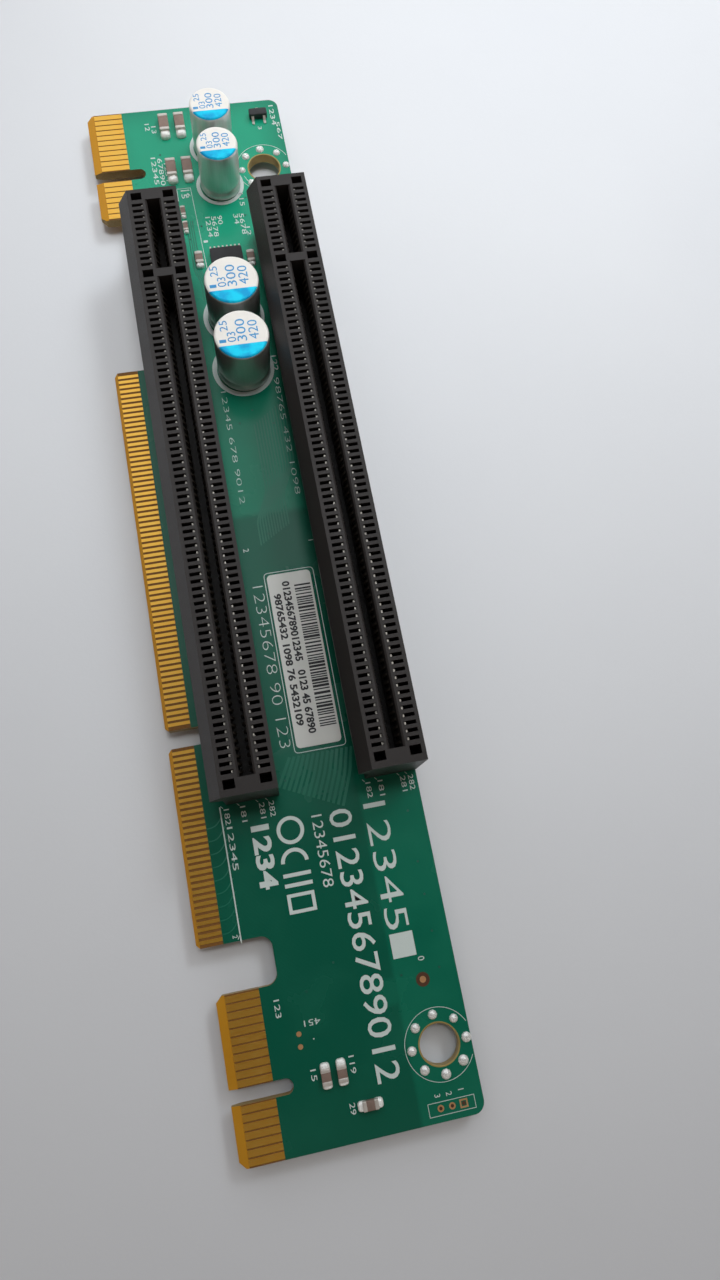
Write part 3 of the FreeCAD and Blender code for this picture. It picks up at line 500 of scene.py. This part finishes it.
ink_finish = Finish("white_silkscreen", {})
ink_grain, ink_patch = ink_finish.grain(0.09, 2.5)
ink_worn = ink_finish.rise(ink_grain, 0.62, 0.8)
ink_finish.feed("Base Color", ink_finish.blend(ink_worn, (0.53, 0.59, 0.56), (0.35, 0.46, 0.41)))
ink_finish.feed_rough(ink_patch, 0.2, 0.4)
ink_finish.emboss(ink_grain, 0.008)
add_piece("silkscreen", *gather(ink), ink_finish, "paper")

# ---------------------------------------------------------------------------------------------
# Mounting holes: drilled and plated through, with a thin brassy lining that turns over both
# faces. Eight small solder beads sit on a ring around each, so a screw head finds earth.


def lathe(x, y, profile, columns):
    """A profile of radius and height turned about an upright line: (r cos a, r sin a, h)."""
    a = np.linspace(0, 2 * np.pi, columns, endpoint=False)
    r, z = np.asarray(profile, float).T[:, :, None]
    return np.stack([x + r * np.cos(a), y + r * np.sin(a), z + 0 * a], -1).reshape(-1, 3)


def hole_lining(x, y):
    """A closed ring: a tube with a narrow lip turned over at each end."""
    columns = 56
    inside, outside, lip, proud = 2.52, 2.6, 2.7, 0.02
    profile = [
        (inside, BOARD_BACK), (inside, BOARD_TOP), (inside + 0.04, BOARD_TOP + proud),
        (lip, BOARD_TOP + proud), (lip + 0.02, BOARD_TOP), (outside, BOARD_TOP), (outside, BOARD_BACK),
        (lip + 0.02, BOARD_BACK), (lip, BOARD_BACK - proud), (inside + 0.04, BOARD_BACK - proud)]
    return lathe(x, y, profile, columns), lattice(len(profile), columns, close_rows=True)[:, ::-1]


def bead(x, y, radius, height):
    """A solder dome: radius cos t out and height sin t up, for t from 0 to 81 degrees."""
    rows, columns = 4, 10
    t = np.linspace(0, np.radians(81), rows)
    profile = np.column_stack([radius * np.cos(t), BOARD_TOP + height * np.sin(t)])
    return lathe(x, y, profile, columns), capped(rows, columns)


def ring_beads():
    """Eight beads on a 3.62 mm radius round each mounting hole, each a little different in size."""
    ring, radius, height = 3.62, 0.64, 0.36
    rng = np.random.default_rng(3)
    turns = np.radians(np.arange(8) * 45 + 2)
    return [bead(x + ring * math.cos(a), y + ring * math.sin(a), radius * rng.uniform(0.88, 1.1), height)
            for x, y in MOUNTING_HOLES for a in turns]


lining_finish = speckled(
    "plated_lining", {"Metallic": 0.5, "Roughness": 0.45}, (0.25, 1.6),
    ((0.30, 0.20, 0.06), (0.48, 0.36, 0.13)), 0.03)
linings = [hole_lining(x, y) for x, y in MOUNTING_HOLES]
add_piece("mounting_hole_linings", *gather(linings), lining_finish, "gold")

solder_finish = speckled(
    "bright_solder", {"Metallic": 0.5}, (0.3, 1.2), ((0.74, 0.75, 0.72), (0.93, 0.93, 0.90)), 0.03)
solder_finish.feed_rough(solder_finish.fine, 0.3, 0.12)
add_piece("mounting_hole_solder_beads", *gather(ring_beads()), solder_finish, "solder")

# ---------------------------------------------------------------------------------------------
# Bare pads: three plated header holes (the first one square), a round copper sight mark in a
# ring that is free of mask, and two round test pads.
PAD_TOP = BOARD_TOP + 0.03
OPENING_LOW = BOARD_TOP - 0.04
HEADER_Y = -77.15
SIGHT_MARK = (11.65, -61.75)

pads = [disc(x, HEADER_Y, BOARD_TOP, PAD_TOP, 0.42, 20, inner=0.22) for x in (10.7, 12.2)]
pads.append(frame_ring(13.28, 14.12, HEADER_Y - 0.42, HEADER_Y + 0.42, 0.2, BOARD_TOP, PAD_TOP))
pads += [disc(x, y, BOARD_TOP, PAD_TOP, 0.33) for x, y in ((-5.25, -64.98), (-5.3, -66.5))]
pads.append(disc(*SIGHT_MARK, BOARD_TOP, PAD_TOP, 0.42, 20))
copper_finish = speckled(
    "copper_pads", {"Metallic": 0.85, "Roughness": 0.4}, (0.1, 1.0),
    ((0.72, 0.36, 0.16), (0.88, 0.55, 0.28)), 0.006)
add_piece("bare_pads", *gather(pads), copper_finish, "gold")

# The dark discs in the three header holes are painted shade of the holes. The same dark finish covers the
# ring free of mask round the sight mark.
openings = [disc(x, HEADER_Y, OPENING_LOW, BOARD_TOP + 0.006, 0.24) for x in (10.7, 12.2, 13.7)]
openings.append(disc(*SIGHT_MARK, OPENING_LOW, BOARD_TOP + 0.01, 0.9, 28, inner=0.4))
hole_shade_and_ring_finish = speckled(
    "painted_hole_shade_and_mark_ring", {"Roughness": 0.6}, (0.1, 1.0), ((0.035, 0.013, 0.005), (0.10, 0.035, 0.012)), 0.01)
add_piece("painted_hole_shade_and_mark_ring", *gather(openings), hole_shade_and_ring_finish, "board")

# ---------------------------------------------------------------------------------------------
# Card-edge sockets: two mouldings of glass-filled plastic with a keyed slot, contact windows on
# both sides of it, and a sloping hood along the left side. The moulding is matt, with fine grain.
SOCKET_AXES = {"a": -6.2, "b": 12.8}
SOCKET_TOP = 14.25

plastic_finish = Finish("socket_moulding", {"Specular IOR Level": 0.4})
plastic_grain, plastic_patch = plastic_finish.grain(0.07, 12.0)
# Painted shade: the plastic is painted darker the lower it lies below the top, deep in the slot and the
# cavities and low on the walls.
clear_of_painted_shade = plastic_finish.rise(plastic_finish.z, SOCKET_TOP - 6.5, SOCKET_TOP - 0.4)
plastic_tone = plastic_finish.blend(plastic_patch, (0.021, 0.0182, 0.0175), (0.030, 0.0265, 0.0255))
plastic_finish.feed("Base Color", plastic_finish.blend(clear_of_painted_shade, (0.012, 0.011, 0.0105), plastic_tone))
plastic_finish.feed_rough(plastic_grain, 0.3, 0.3)
plastic_finish.emboss(plastic_grain, 0.012)
for letter in "ab":
    give(f"socket_{letter}_housing", plastic_finish)

# ---------------------------------------------------------------------------------------------
# Spring contacts: stamped strips of plated copper alloy, two rows of 82 in each socket. Each rises
# from the floor of its cavity, bellies into the slot to press on the card, and ends in a tip that
# leans back into its window.
# Contacts are 1 mm apart, and the key takes two places after the eleventh.
FIRST_CONTACT_Y = 51.05
CONTACT_Y = FIRST_CONTACT_Y - np.concatenate([np.arange(11), np.arange(13, 84)])


def spring_blade():
    """A strip carried along an S path: the path moved 0.1 mm each way along its normal.

    Its width, along y, narrows from 0.38 to 0.32 mm. Places are x and height from the slot's top.
    """
    path = np.array([(2.45, -8.98), (2.05, -7.2), (1.2, -5.2), (0.62, -3.9), (0.52, -3.1), (0.92, -2.1),
                     (1.42, -1.2), (1.64, -0.75), (1.68, -0.28)])
    along = np.gradient(path, axis=0)
    along /= np.linalg.norm(along, axis=1, keepdims=True)
    across = np.stack([along[:, 1], -along[:, 0]], -1) * 0.1
    wide = np.linspace(0.19, 0.16, len(path))
    ring = [(path + across, -wide), (path + across, wide), (path - across, wide), (path - across, -wide)]
    points = np.stack([np.column_stack([edge[:, 0], y, edge[:, 1]]) for edge, y in ring], 1)
    return points.reshape(-1, 3), capped(len(path), 4)


def repeated(points, faces, places):
    """Copies of one shape, moved by each row of places."""
    all_points = (points[None] + places[:, None]).reshape(-1, 3)
    return all_points, [
        [corner + copy * len(points) for corner in face] for copy in range(len(places)) for face in faces]


def contact_row(axis, side):
    """The blade at every contact place of one side; the left row is the right one mirrored."""
    points, faces = spring_blade()
    places = np.column_stack([np.full(82, axis), CONTACT_Y, np.full(82, SOCKET_TOP)])
    return repeated(points * (side, 1, 1), flipped(faces) if side < 0 else faces, places)


contact_finish = Finish("contact_plating", {"Metallic": 0.6, "Roughness": 0.3})
contact_grain, contact_patch = contact_finish.grain(0.08, 3.0)
# Painted shade: below their tips the contacts are painted near black, deep in the slot.
contact_clear_of_painted_shade = contact_finish.rise(contact_finish.z, SOCKET_TOP - 2.4, SOCKET_TOP - 0.6)
contact_tone = contact_finish.blend(contact_patch, (0.40, 0.375, 0.33), (0.56, 0.535, 0.48))
contact_finish.feed(
    "Base Color", contact_finish.blend(contact_clear_of_painted_shade, (0.05, 0.04, 0.03), contact_tone))
contact_finish.emboss(contact_grain, 0.01)
for letter, axis in SOCKET_AXES.items():
    for side_name, side in (("left", -1), ("right", 1)):
        name = f"socket_{letter}_contacts_{side_name}"
        add_piece(f"{name}_springs", *contact_row(axis, side), contact_finish, "contact_metal", [name])

# ---------------------------------------------------------------------------------------------
# Solder joints: the tails of the sockets and capacitors come through the board and are soldered
# at the back, each a small bright cone that wets its pad and climbs the tail.


def joint_cones(places, drop):
    """Turned cones that hang from the back: radius 0.1 + 0.36 (1 - t)^2.2 at a share t of the drop."""
    rows, columns = 5, 8
    t = np.linspace(0, 1, rows)
    profile = np.column_stack([0.1 + 0.36 * (1 - t) ** 2.2, BOARD_BACK + 0.02 - (drop + 0.02) * t])
    shape = lathe(0, 0, profile, columns)
    offsets = np.column_stack([places, np.zeros(len(places))])
    return repeated(shape, flipped(capped(rows, columns)), offsets)


# The tails stand 3 mm and 1 mm from the slot's middle by turns.
from_middle = np.where(np.arange(82) % 2 == 0, 3.0, 1.0)
for letter, axis in SOCKET_AXES.items():
    tails = np.concatenate([np.column_stack([axis + side * from_middle, CONTACT_Y]) for side in (-1, 1)])
    add_piece(f"socket_{letter}_joint_cones", *joint_cones(tails, drop=1.4), solder_finish, "solder",
              [f"socket_{letter}_solder_joints"])
can_leads = [(x + side * lead_gap / 2, y) for cans, lead_gap in ((SMALL_CANS, 2.5), (LARGE_CANS, 3.5))
             for x, y in cans for side in (-1, 1)]
add_piece("capacitor_joint_cones", *joint_cones(can_leads, drop=1.1), solder_finish, "solder",
          ["capacitor_solder_joints"])

# ---------------------------------------------------------------------------------------------
# Can capacitors: bright drawn aluminium cups, crimped onto a rubber seal near the foot. The flat
# top is printed: white, with a blue segment on the side of the negative lead and blue figures.
CANS = [(place, 3.15, 11.7) for place in SMALL_CANS] + [(place, 4.0, 12.1) for place in LARGE_CANS]
CAN_COLUMNS = 64
SHOULDER = 0.5
SKIN = 0.015
# The foot curl and the crimp groove: distance from the can's full radius, and height over the board.
CAN_FOOT = (
    (-0.5, 0.02), (-0.28, 0.0), (-0.08, 0.08), (0.0, 0.28), (0.02, 0.7), (-0.03, 0.98), (-0.16, 1.18),
    (-0.27, 1.36), (-0.27, 1.52), (-0.16, 1.7), (-0.04, 1.88), (0.0, 2.1))
# Rows of figures for an 8 mm can: x and y from its middle, height and length.
FIGURES = (
    ("1", -2.3, -1.15, 1.0, 0.5), ("25", -1.8, 0.7, 1.15, 1.7), ("03", -0.85, -1.15, 1.25, 1.6),
    ("300", 0.7, -1.2, 1.4, 3.6), ("420", 2.45, -1.1, 1.4, 3.1))


def can_shell(x, y, radius, top):
    """The cup's profile turned: foot curl, crimp groove, straight side, rounded shoulder, flat top."""
    t = np.linspace(0, np.pi / 2, 7)
    bend = np.column_stack([radius - SHOULDER * (1 - np.cos(t)), top - SHOULDER * (1 - np.sin(t))])
    profile = np.concatenate([np.array(CAN_FOOT) + (radius, BOARD_TOP), bend])
    return lathe(x, y, profile, CAN_COLUMNS), capped(len(profile), CAN_COLUMNS)


def print_skin(x, y, radius, top):
    """A thin cap over the flat top and most of the shoulder: the shoulder's arc moved out by SKIN.

    It starts 38 degrees up the shoulder, where its rim is tucked into the can.
    """
    t = np.linspace(np.radians(38), np.pi / 2, 6)
    arm = SHOULDER + SKIN
    bend = np.column_stack([radius - SHOULDER + arm * np.cos(t), top - SHOULDER + arm * np.sin(t)])
    profile = np.concatenate([[bend[0] - (0.05, 0.04)], bend, [(radius * 0.5, top + SKIN)]])
    return lathe(x, y, profile, CAN_COLUMNS), capped(len(profile), CAN_COLUMNS)


can_finish = Finish("drawn_can", {"Metallic": 0.7})
can_grain, can_patch = can_finish.grain(0.2, 3.0)
draw_lines = can_finish.streaks((4.0, 4.0, 0.2), 2.0)
can_metal = can_finish.blend(draw_lines, (0.62, 0.63, 0.62), (0.80, 0.81, 0.79))
dulled = can_finish.calc("MULTIPLY", can_patch, 0.3)
can_finish.feed("Base Color", can_finish.blend(dulled, can_metal, (0.60, 0.62, 0.60)))
can_finish.feed_rough(draw_lines, 0.12, 0.3)
can_finish.emboss(can_finish.calc("ADD", draw_lines, can_grain), 0.004)

skins, figures, places_on_top = [], [], []
for number, ((x, y), radius, top) in enumerate(CANS, start=1):
    add_piece(f"capacitor_{number}_shell", *can_shell(x, y, radius, top), can_finish, "can_metal",
              [f"capacitor_{number}_can"])
    skin = print_skin(x, y, radius, top)
    skins.append(skin)
    places_on_top.append((skin[0][:, :2] - (x, y)) / radius / 2 + 0.5)
    scale = radius / 4.0
    for text, *measures in FIGURES:
        dx, dy, height, length = np.multiply(measures, scale)
        figures.append(numerals(text, x + dx, y + dy, height, length, 0.0, 90, top + 0.012, top + 0.032))

skin_finish = Finish("printed_top", {"Roughness": 0.32})
skin_grain, skin_patch = skin_finish.grain(0.15, 2.0)
# The skin's own map runs from 0 to 1 across each can, so one chord serves all four.
across_top = skin_finish.add("ShaderNodeUVMap", uv_map="place_on_top").outputs[0]
along_top = skin_finish.add("ShaderNodeSeparateXYZ", {0: across_top}).outputs[1]
is_blue = skin_finish.calc("SUBTRACT", 1.0, skin_finish.rise(along_top, 0.285, 0.295))
white_print = skin_finish.blend(skin_patch, (0.70, 0.665, 0.615), (0.80, 0.765, 0.71))
blue_share = skin_finish.rise(skin_patch, 0.35, 0.65)
blue_print = skin_finish.blend(blue_share, (0.0, 0.34, 0.66), (0.0, 0.62, 0.86))
skin_finish.feed("Base Color", skin_finish.blend(is_blue, white_print, blue_print))
skin_finish.feed("Metallic", skin_finish.calc("MULTIPLY", is_blue, 0.35))
skin_finish.emboss(skin_grain, 0.004)
skin_piece = add_piece("can_top_prints", *gather(skins), skin_finish, "paper")
corners = np.zeros(len(skin_piece.data.loops), np.int32)
skin_piece.data.loops.foreach_get("vertex_index", corners)
skin_map = skin_piece.data.uv_layers.new(name="place_on_top")
skin_map.data.foreach_set("uv", np.concatenate(places_on_top)[corners].astype(np.float32).ravel())

figure_finish = speckled(
    "blue_figures", {"Roughness": 0.4}, (0.2, 2.5), ((0.02, 0.20, 0.46), (0.06, 0.33, 0.62)), 0.004)
add_piece("can_top_figures", *gather(figures), figure_finish, "paper")

# ---------------------------------------------------------------------------------------------
# Chip capacitors: fired ceramic bricks with tinned ends, held by bright solder fillets that run
# out over their pads. There are three sizes: 3.2 mm, 2.0 mm and, close beside socket A, 1.6 mm.
# Each size's length, width, height and length of its metal ends.
CHIP_SIZES = {
    "1206": (3.2, 1.6, 1.25, 0.55), "0805": (2.0, 1.25, 0.85, 0.5), "0603": (1.6, 0.8, 0.7, 0.3)}
# Each chip's size, middle and turn, and how far solder runs out past its two ends.
CHIPS = {
    "large": (
        ("1206", -2.8, 75.25, 0, 0.95, 0.35), ("1206", -0.25, 75.25, 0, 0.95, 0.35),
        ("1206", -2.8, 66.5, 0, 0.95, 0.35), ("1206", -0.25, 66.5, 0, 0.95, 0.35),
        ("0805", -2.75, -70.5, 0, 0.5, 0.65), ("0805", -0.7, -70.5, 0, 0.5, 0.75)),
    "small": (
        ("0805", -0.85, 49.5, 0, 0.65, 0.35), ("0805", 7.2, 48.75, 0, 0.6, 0.35),
        ("0805", 2.1, -74.8, 90, 0.65, 0.65)),
    "tiny": (("0603", -2.1, 58.45, 0, 0.4, 0.3), ("0603", -2.1, 55.6, 0, 0.4, 0.3)),
}
# How blunt a brick is, from 0 for a sharp box to 1 for an egg.
CORE_BLUNT, END_BLUNT, FILLET_BLUNT = 0.12, 0.2, 0.6


def soft_brick(middle, size, blunt, rows=10, columns=20):
    """A superellipsoid: each cosine and sine is raised to the power blunt, which squares it up."""
    u = np.linspace(-np.pi / 2, np.pi / 2, rows)[1:-1, None]
    v = np.linspace(0, 2 * np.pi, columns, endpoint=False)[None, :] + np.pi / columns

    def bend(value):
        return np.sign(value) * np.abs(value) ** blunt

    points = np.stack(np.broadcast_arrays(
        bend(np.cos(u)) * bend(np.cos(v)), bend(np.cos(u)) * bend(np.sin(v)), bend(np.sin(u))), -1)
    return points.reshape(-1, 3) * np.asarray(size) / 2 + np.asarray(middle), capped(rows - 2, columns)


def chip_block(x, y, turn, along, size, lift, blunt):
    """A brick on a chip's long axis: along is how far its middle is from the chip's middle.

    Lift is how far its underside is above the board.
    """
    length, width, height = size
    middle = (x + along, y) if turn else (x, y + along)
    spans = (length, width) if turn else (width, length)
    return soft_brick((*middle, BOARD_TOP + lift + height / 2), (*spans, height), blunt)


ceramic_finish = speckled(
    "fired_ceramic", {"Roughness": 0.45}, (0.12, 1.4), ((0.14, 0.092, 0.072), (0.26, 0.18, 0.145)), 0.01)
tin_finish = speckled(
    "tinned_ends", {"Metallic": 0.45}, (0.15, 0.8), ((0.50, 0.46, 0.415), (0.68, 0.635, 0.58)), 0.02)
tin_finish.feed_rough(tin_finish.fine, 0.3, 0.2)
fillet_finish = speckled(
    "chip_solder", {"Metallic": 0.2}, (0.35, 1.0), ((0.80, 0.80, 0.76), (0.97, 0.97, 0.93)), 0.09)
fillet_finish.feed_rough(fillet_finish.fine, 0.3, 0.05)

fillets = []
for kind, chips in CHIPS.items():
    cores, caps = [], []
    for chip_size, x, y, turn, run_low, run_high in chips:
        length, width, high, end = CHIP_SIZES[chip_size]
        core = (length - 2 * end + 0.1, width - 0.04, high - 0.06)
        cores.append(chip_block(x, y, turn, 0, core, 0.02, CORE_BLUNT))
        for side, reach in ((-1, run_low), (1, run_high)):
            cap = (end, width, high)
            caps.append(chip_block(x, y, turn, side * (length - end) / 2, cap, 0.0, END_BLUNT))
            # A fillet's lower half is inside the board.
            fillet = (2 * reach, width * 1.02, high * 1.5)
            fillets.append(
                chip_block(x, y, turn, side * length / 2, fillet, -high * 0.75, FILLET_BLUNT))
    add_piece(f"{kind}_chip_cores", *gather(cores), ceramic_finish, "ceramic", [f"{kind}_chip_bodies"])
    add_piece(f"{kind}_chip_caps", *gather(caps), tin_finish, "tin", [f"{kind}_chip_ends"])
add_piece("chip_solder_fillets", *gather(fillets), fillet_finish, "solder")

# ---------------------------------------------------------------------------------------------
# Logic chip and transistor: black moulded resin with blunt edges, on tinned gull-wing leads that
# are soldered to the board. The chip has 16 leads and the transistor has three.
resin_finish = speckled(
    "black_resin", {"Roughness": 0.5}, (0.1, 1.6), ((0.012, 0.012, 0.013), (0.026, 0.026, 0.028)), 0.012)
# Each case: its middle, its size and how blunt its edges are.
CASES = {
    "logic_chip": ((3.45, 48.4, BOARD_TOP + 0.6), (5.0, 4.4, 1.0), 0.1),
    "transistor": ((12.75, 75.65, BOARD_TOP + 0.6), (2.9, 1.3, 1.0), 0.14)}
for name, shape in CASES.items():
    add_piece(f"{name}_case", *soft_brick(*shape), resin_finish, "black_resin", [f"{name}_body"])
    give(f"{name}_leads", tin_finish)

# ---------------------------------------------------------------------------------------------
# Label: a matt white paper sticker with rounded corners between the sockets. It carries plain
# bars and rows of plain digits in black.
LABEL = (0.8, 7.1, -29.25, -3.95)
LABEL_THICK = 0.1


def label_sheet():
    """A rounded rectangle: corner arcs of 0.6 mm radius joined by straight sides."""
    x0, x1, y0, y1 = LABEL
    r = 0.6
    middles = ((x1 - r, y1 - r, 0), (x0 + r, y1 - r, 90), (x0 + r, y0 + r, 180), (x1 - r, y0 + r, 270))
    turns = [np.radians(np.linspace(start, start + 90, 7)) for _, _, start in middles]
    ring = np.concatenate([
        np.column_stack([x + r * np.cos(a), y + r * np.sin(a)]) for (x, y, _), a in zip(middles, turns)])
    count = len(ring)
    levels = (BOARD_TOP, BOARD_TOP + LABEL_THICK)
    points = np.concatenate([np.column_stack([ring, np.full(count, z)]) for z in levels])
    return points, capped(2, count)


def label_print():
    """Bars of random widths across a field, and two rows of digits beside it."""
    low, high = BOARD_TOP + LABEL_THICK - 0.01, BOARD_TOP + LABEL_THICK + 0.012
    left, right, y, lower_end = 4.5, 6.8, -5.95, -26.7
    ink_spread = 1.12
    rng = np.random.default_rng(7)
    shapes = []
    while y > lower_end:
        bar, gap = rng.choice([0.16, 0.22, 0.32], 2, p=[0.5, 0.3, 0.2])
        middle = y - bar / 2
        shapes.append(ribbon([(left, middle), (right, middle)], bar * ink_spread, low, high))
        y -= bar + gap
    for text, x, y, height, length in (
            ("0123456789012345   0123 45 67890", 2.85, -5.2, 1.0, 22.3),
            ("98765432 1098 76 5432109", 1.4, -6.9, 0.95, 19.3)):
        shapes.append(numerals(text, x, y, height, length, weight=0.05, low=low, high=high))
    return shapes


paper_finish = speckled(
    "label_paper", {"Roughness": 0.6}, (0.06, 4.0), ((0.57, 0.565, 0.53), (0.64, 0.635, 0.60)), 0.006)
add_piece("label_paper_sheet", *label_sheet(), paper_finish, "paper", ["label"])
toner_finish = speckled(
    "label_print", {"Roughness": 0.5}, (0.05, 2.0), ((0.008, 0.008, 0.01), (0.022, 0.022, 0.025)), 0.004)
add_piece("label_print_marks", *gather(label_print()), toner_finish, "black_resin")

# ---------------------------------------------------------------------------------------------
# The setting: a pale floor under the tips of the solder joints, and three lamps. A small one high
# on the right gives highlights. A window and a ceiling panel beyond the upper end light that end
# more than the lower one, as does the room, which is bright only on that side.
floor_mesh = bpy.data.meshes.new("floor")
floor_mesh.from_pydata([(-3, -3, 0), (3, -3, 0), (3, 3, 0), (-3, 3, 0)], [], [(0, 1, 2, 3)])
floor = bpy.data.objects.new("floor", floor_mesh)
bpy.context.scene.collection.objects.link(floor)
floor_finish = speckled(
    "pale_sheet", {"Roughness": 0.75}, (0.5, 60.0), ((0.60, 0.605, 0.625), (0.66, 0.665, 0.68)), 0.01)
floor_mesh.materials.append(floor_finish.material)


def add_lamp(name, place, target, size, power, colour):
    """A square area lamp at a place, aimed at a target on the floor. Power is in watts."""
    data = bpy.data.lights.new(name, "AREA")
    data.size = size
    data.energy = power
    data.color = colour
    lamp = bpy.data.objects.new(name, data)
    lamp.location = place
    lamp.rotation_euler = (Vector(target) - Vector(place)).to_track_quat("-Z", "Y").to_euler()
    bpy.context.scene.collection.objects.link(lamp)
    return lamp


NARROW_DEGREES = 36
add_lamp("high_lamp", (0.36, 0.08, 0.6), (0.0, 0.0, 0.0), 0.07, 0.25, (1.0, 0.99, 0.96))
window = add_lamp("far_window", (0.34, 0.34, 0.42), (0.08, 0.12, 0.0), 0.24, 0.12, (0.87, 0.94, 1.0))
ceiling = add_lamp("ceiling_panel", (0.05, 0.14, 0.62), (0.05, 0.10, 0.0), 0.2, 0.135, (0.93, 0.97, 1.0))
for lamp in (window, ceiling):
    lamp.data.spread = math.radians(NARROW_DEGREES)
    lamp.visible_glossy = False

# The room's colour goes by how far a direction leans towards the window: 1 is straight at it, and
# 0 is square to it or away from it.
world = bpy.data.worlds.new("room")
bpy.context.scene.world = world
world.use_nodes = True
room = world.node_tree
heading = room.nodes.new("ShaderNodeTexCoord").outputs["Generated"]
towards_window = room.nodes.new("ShaderNodeVectorMath")
towards_window.operation = "DOT_PRODUCT"
towards_window.inputs[1].default_value = (0.0, 0.8, 0.6)
room.links.new(heading, towards_window.inputs[0])
shade = room.nodes.new("ShaderNodeValToRGB")
shade.color_ramp.interpolation = "EASE"
stops = [
    (0.0, (0.31, 0.27, 0.235)), (0.30, (0.27, 0.24, 0.215)), (0.42, (0.06, 0.048, 0.038)),
    (0.71, (0.12, 0.11, 0.105)), (0.83, (1.0, 1.02, 1.05)), (0.92, (1.0, 1.02, 1.05)),
    (1.0, (0.8, 0.82, 0.84))]
for place, _ in stops[2:]:
    shade.color_ramp.elements.new(place)
for element, (place, colour) in zip(shade.color_ramp.elements, stops):
    element.position = place
    element.color = (*colour, 1.0)
room.links.new(towards_window.outputs["Value"], shade.inputs[0])
room.links.new(shade.outputs[0], room.nodes["Background"].inputs[0])

# The camera stands above the lower end, turned as a hand-held one is. Its place follows from where
# the first contact of socket A is, in millimetres in the camera's own axes, and from its turn.
camera_data = bpy.data.cameras.new("camera")
camera_data.sensor_fit = "VERTICAL"
camera_data.sensor_height = 36.0
camera_data.lens = 24.96515625
camera_data.clip_start = 0.005
camera = bpy.data.objects.new("camera", camera_data)
bpy.context.scene.collection.objects.link(camera)
turn = Vector((2.8798, -0.2639, 0.1465))
card_to_view = Quaternion(turn.normalized(), turn.length).to_matrix()
shift = Vector((-30.7800, -60.4807, 139.5602))
first_contact = Vector((-6.15, FIRST_CONTACT_Y, BOARD_TOP))
lens_place = first_contact - card_to_view.transposed() @ shift
view_axes = Matrix.Diagonal((1, -1, -1)) @ card_to_view
camera.matrix_world = Matrix.Translation(lens_place / 1000) @ view_axes.transposed().to_4x4()
bpy.context.scene.camera = camera
bpy.context.scene.view_settings.view_transform = "Standard"
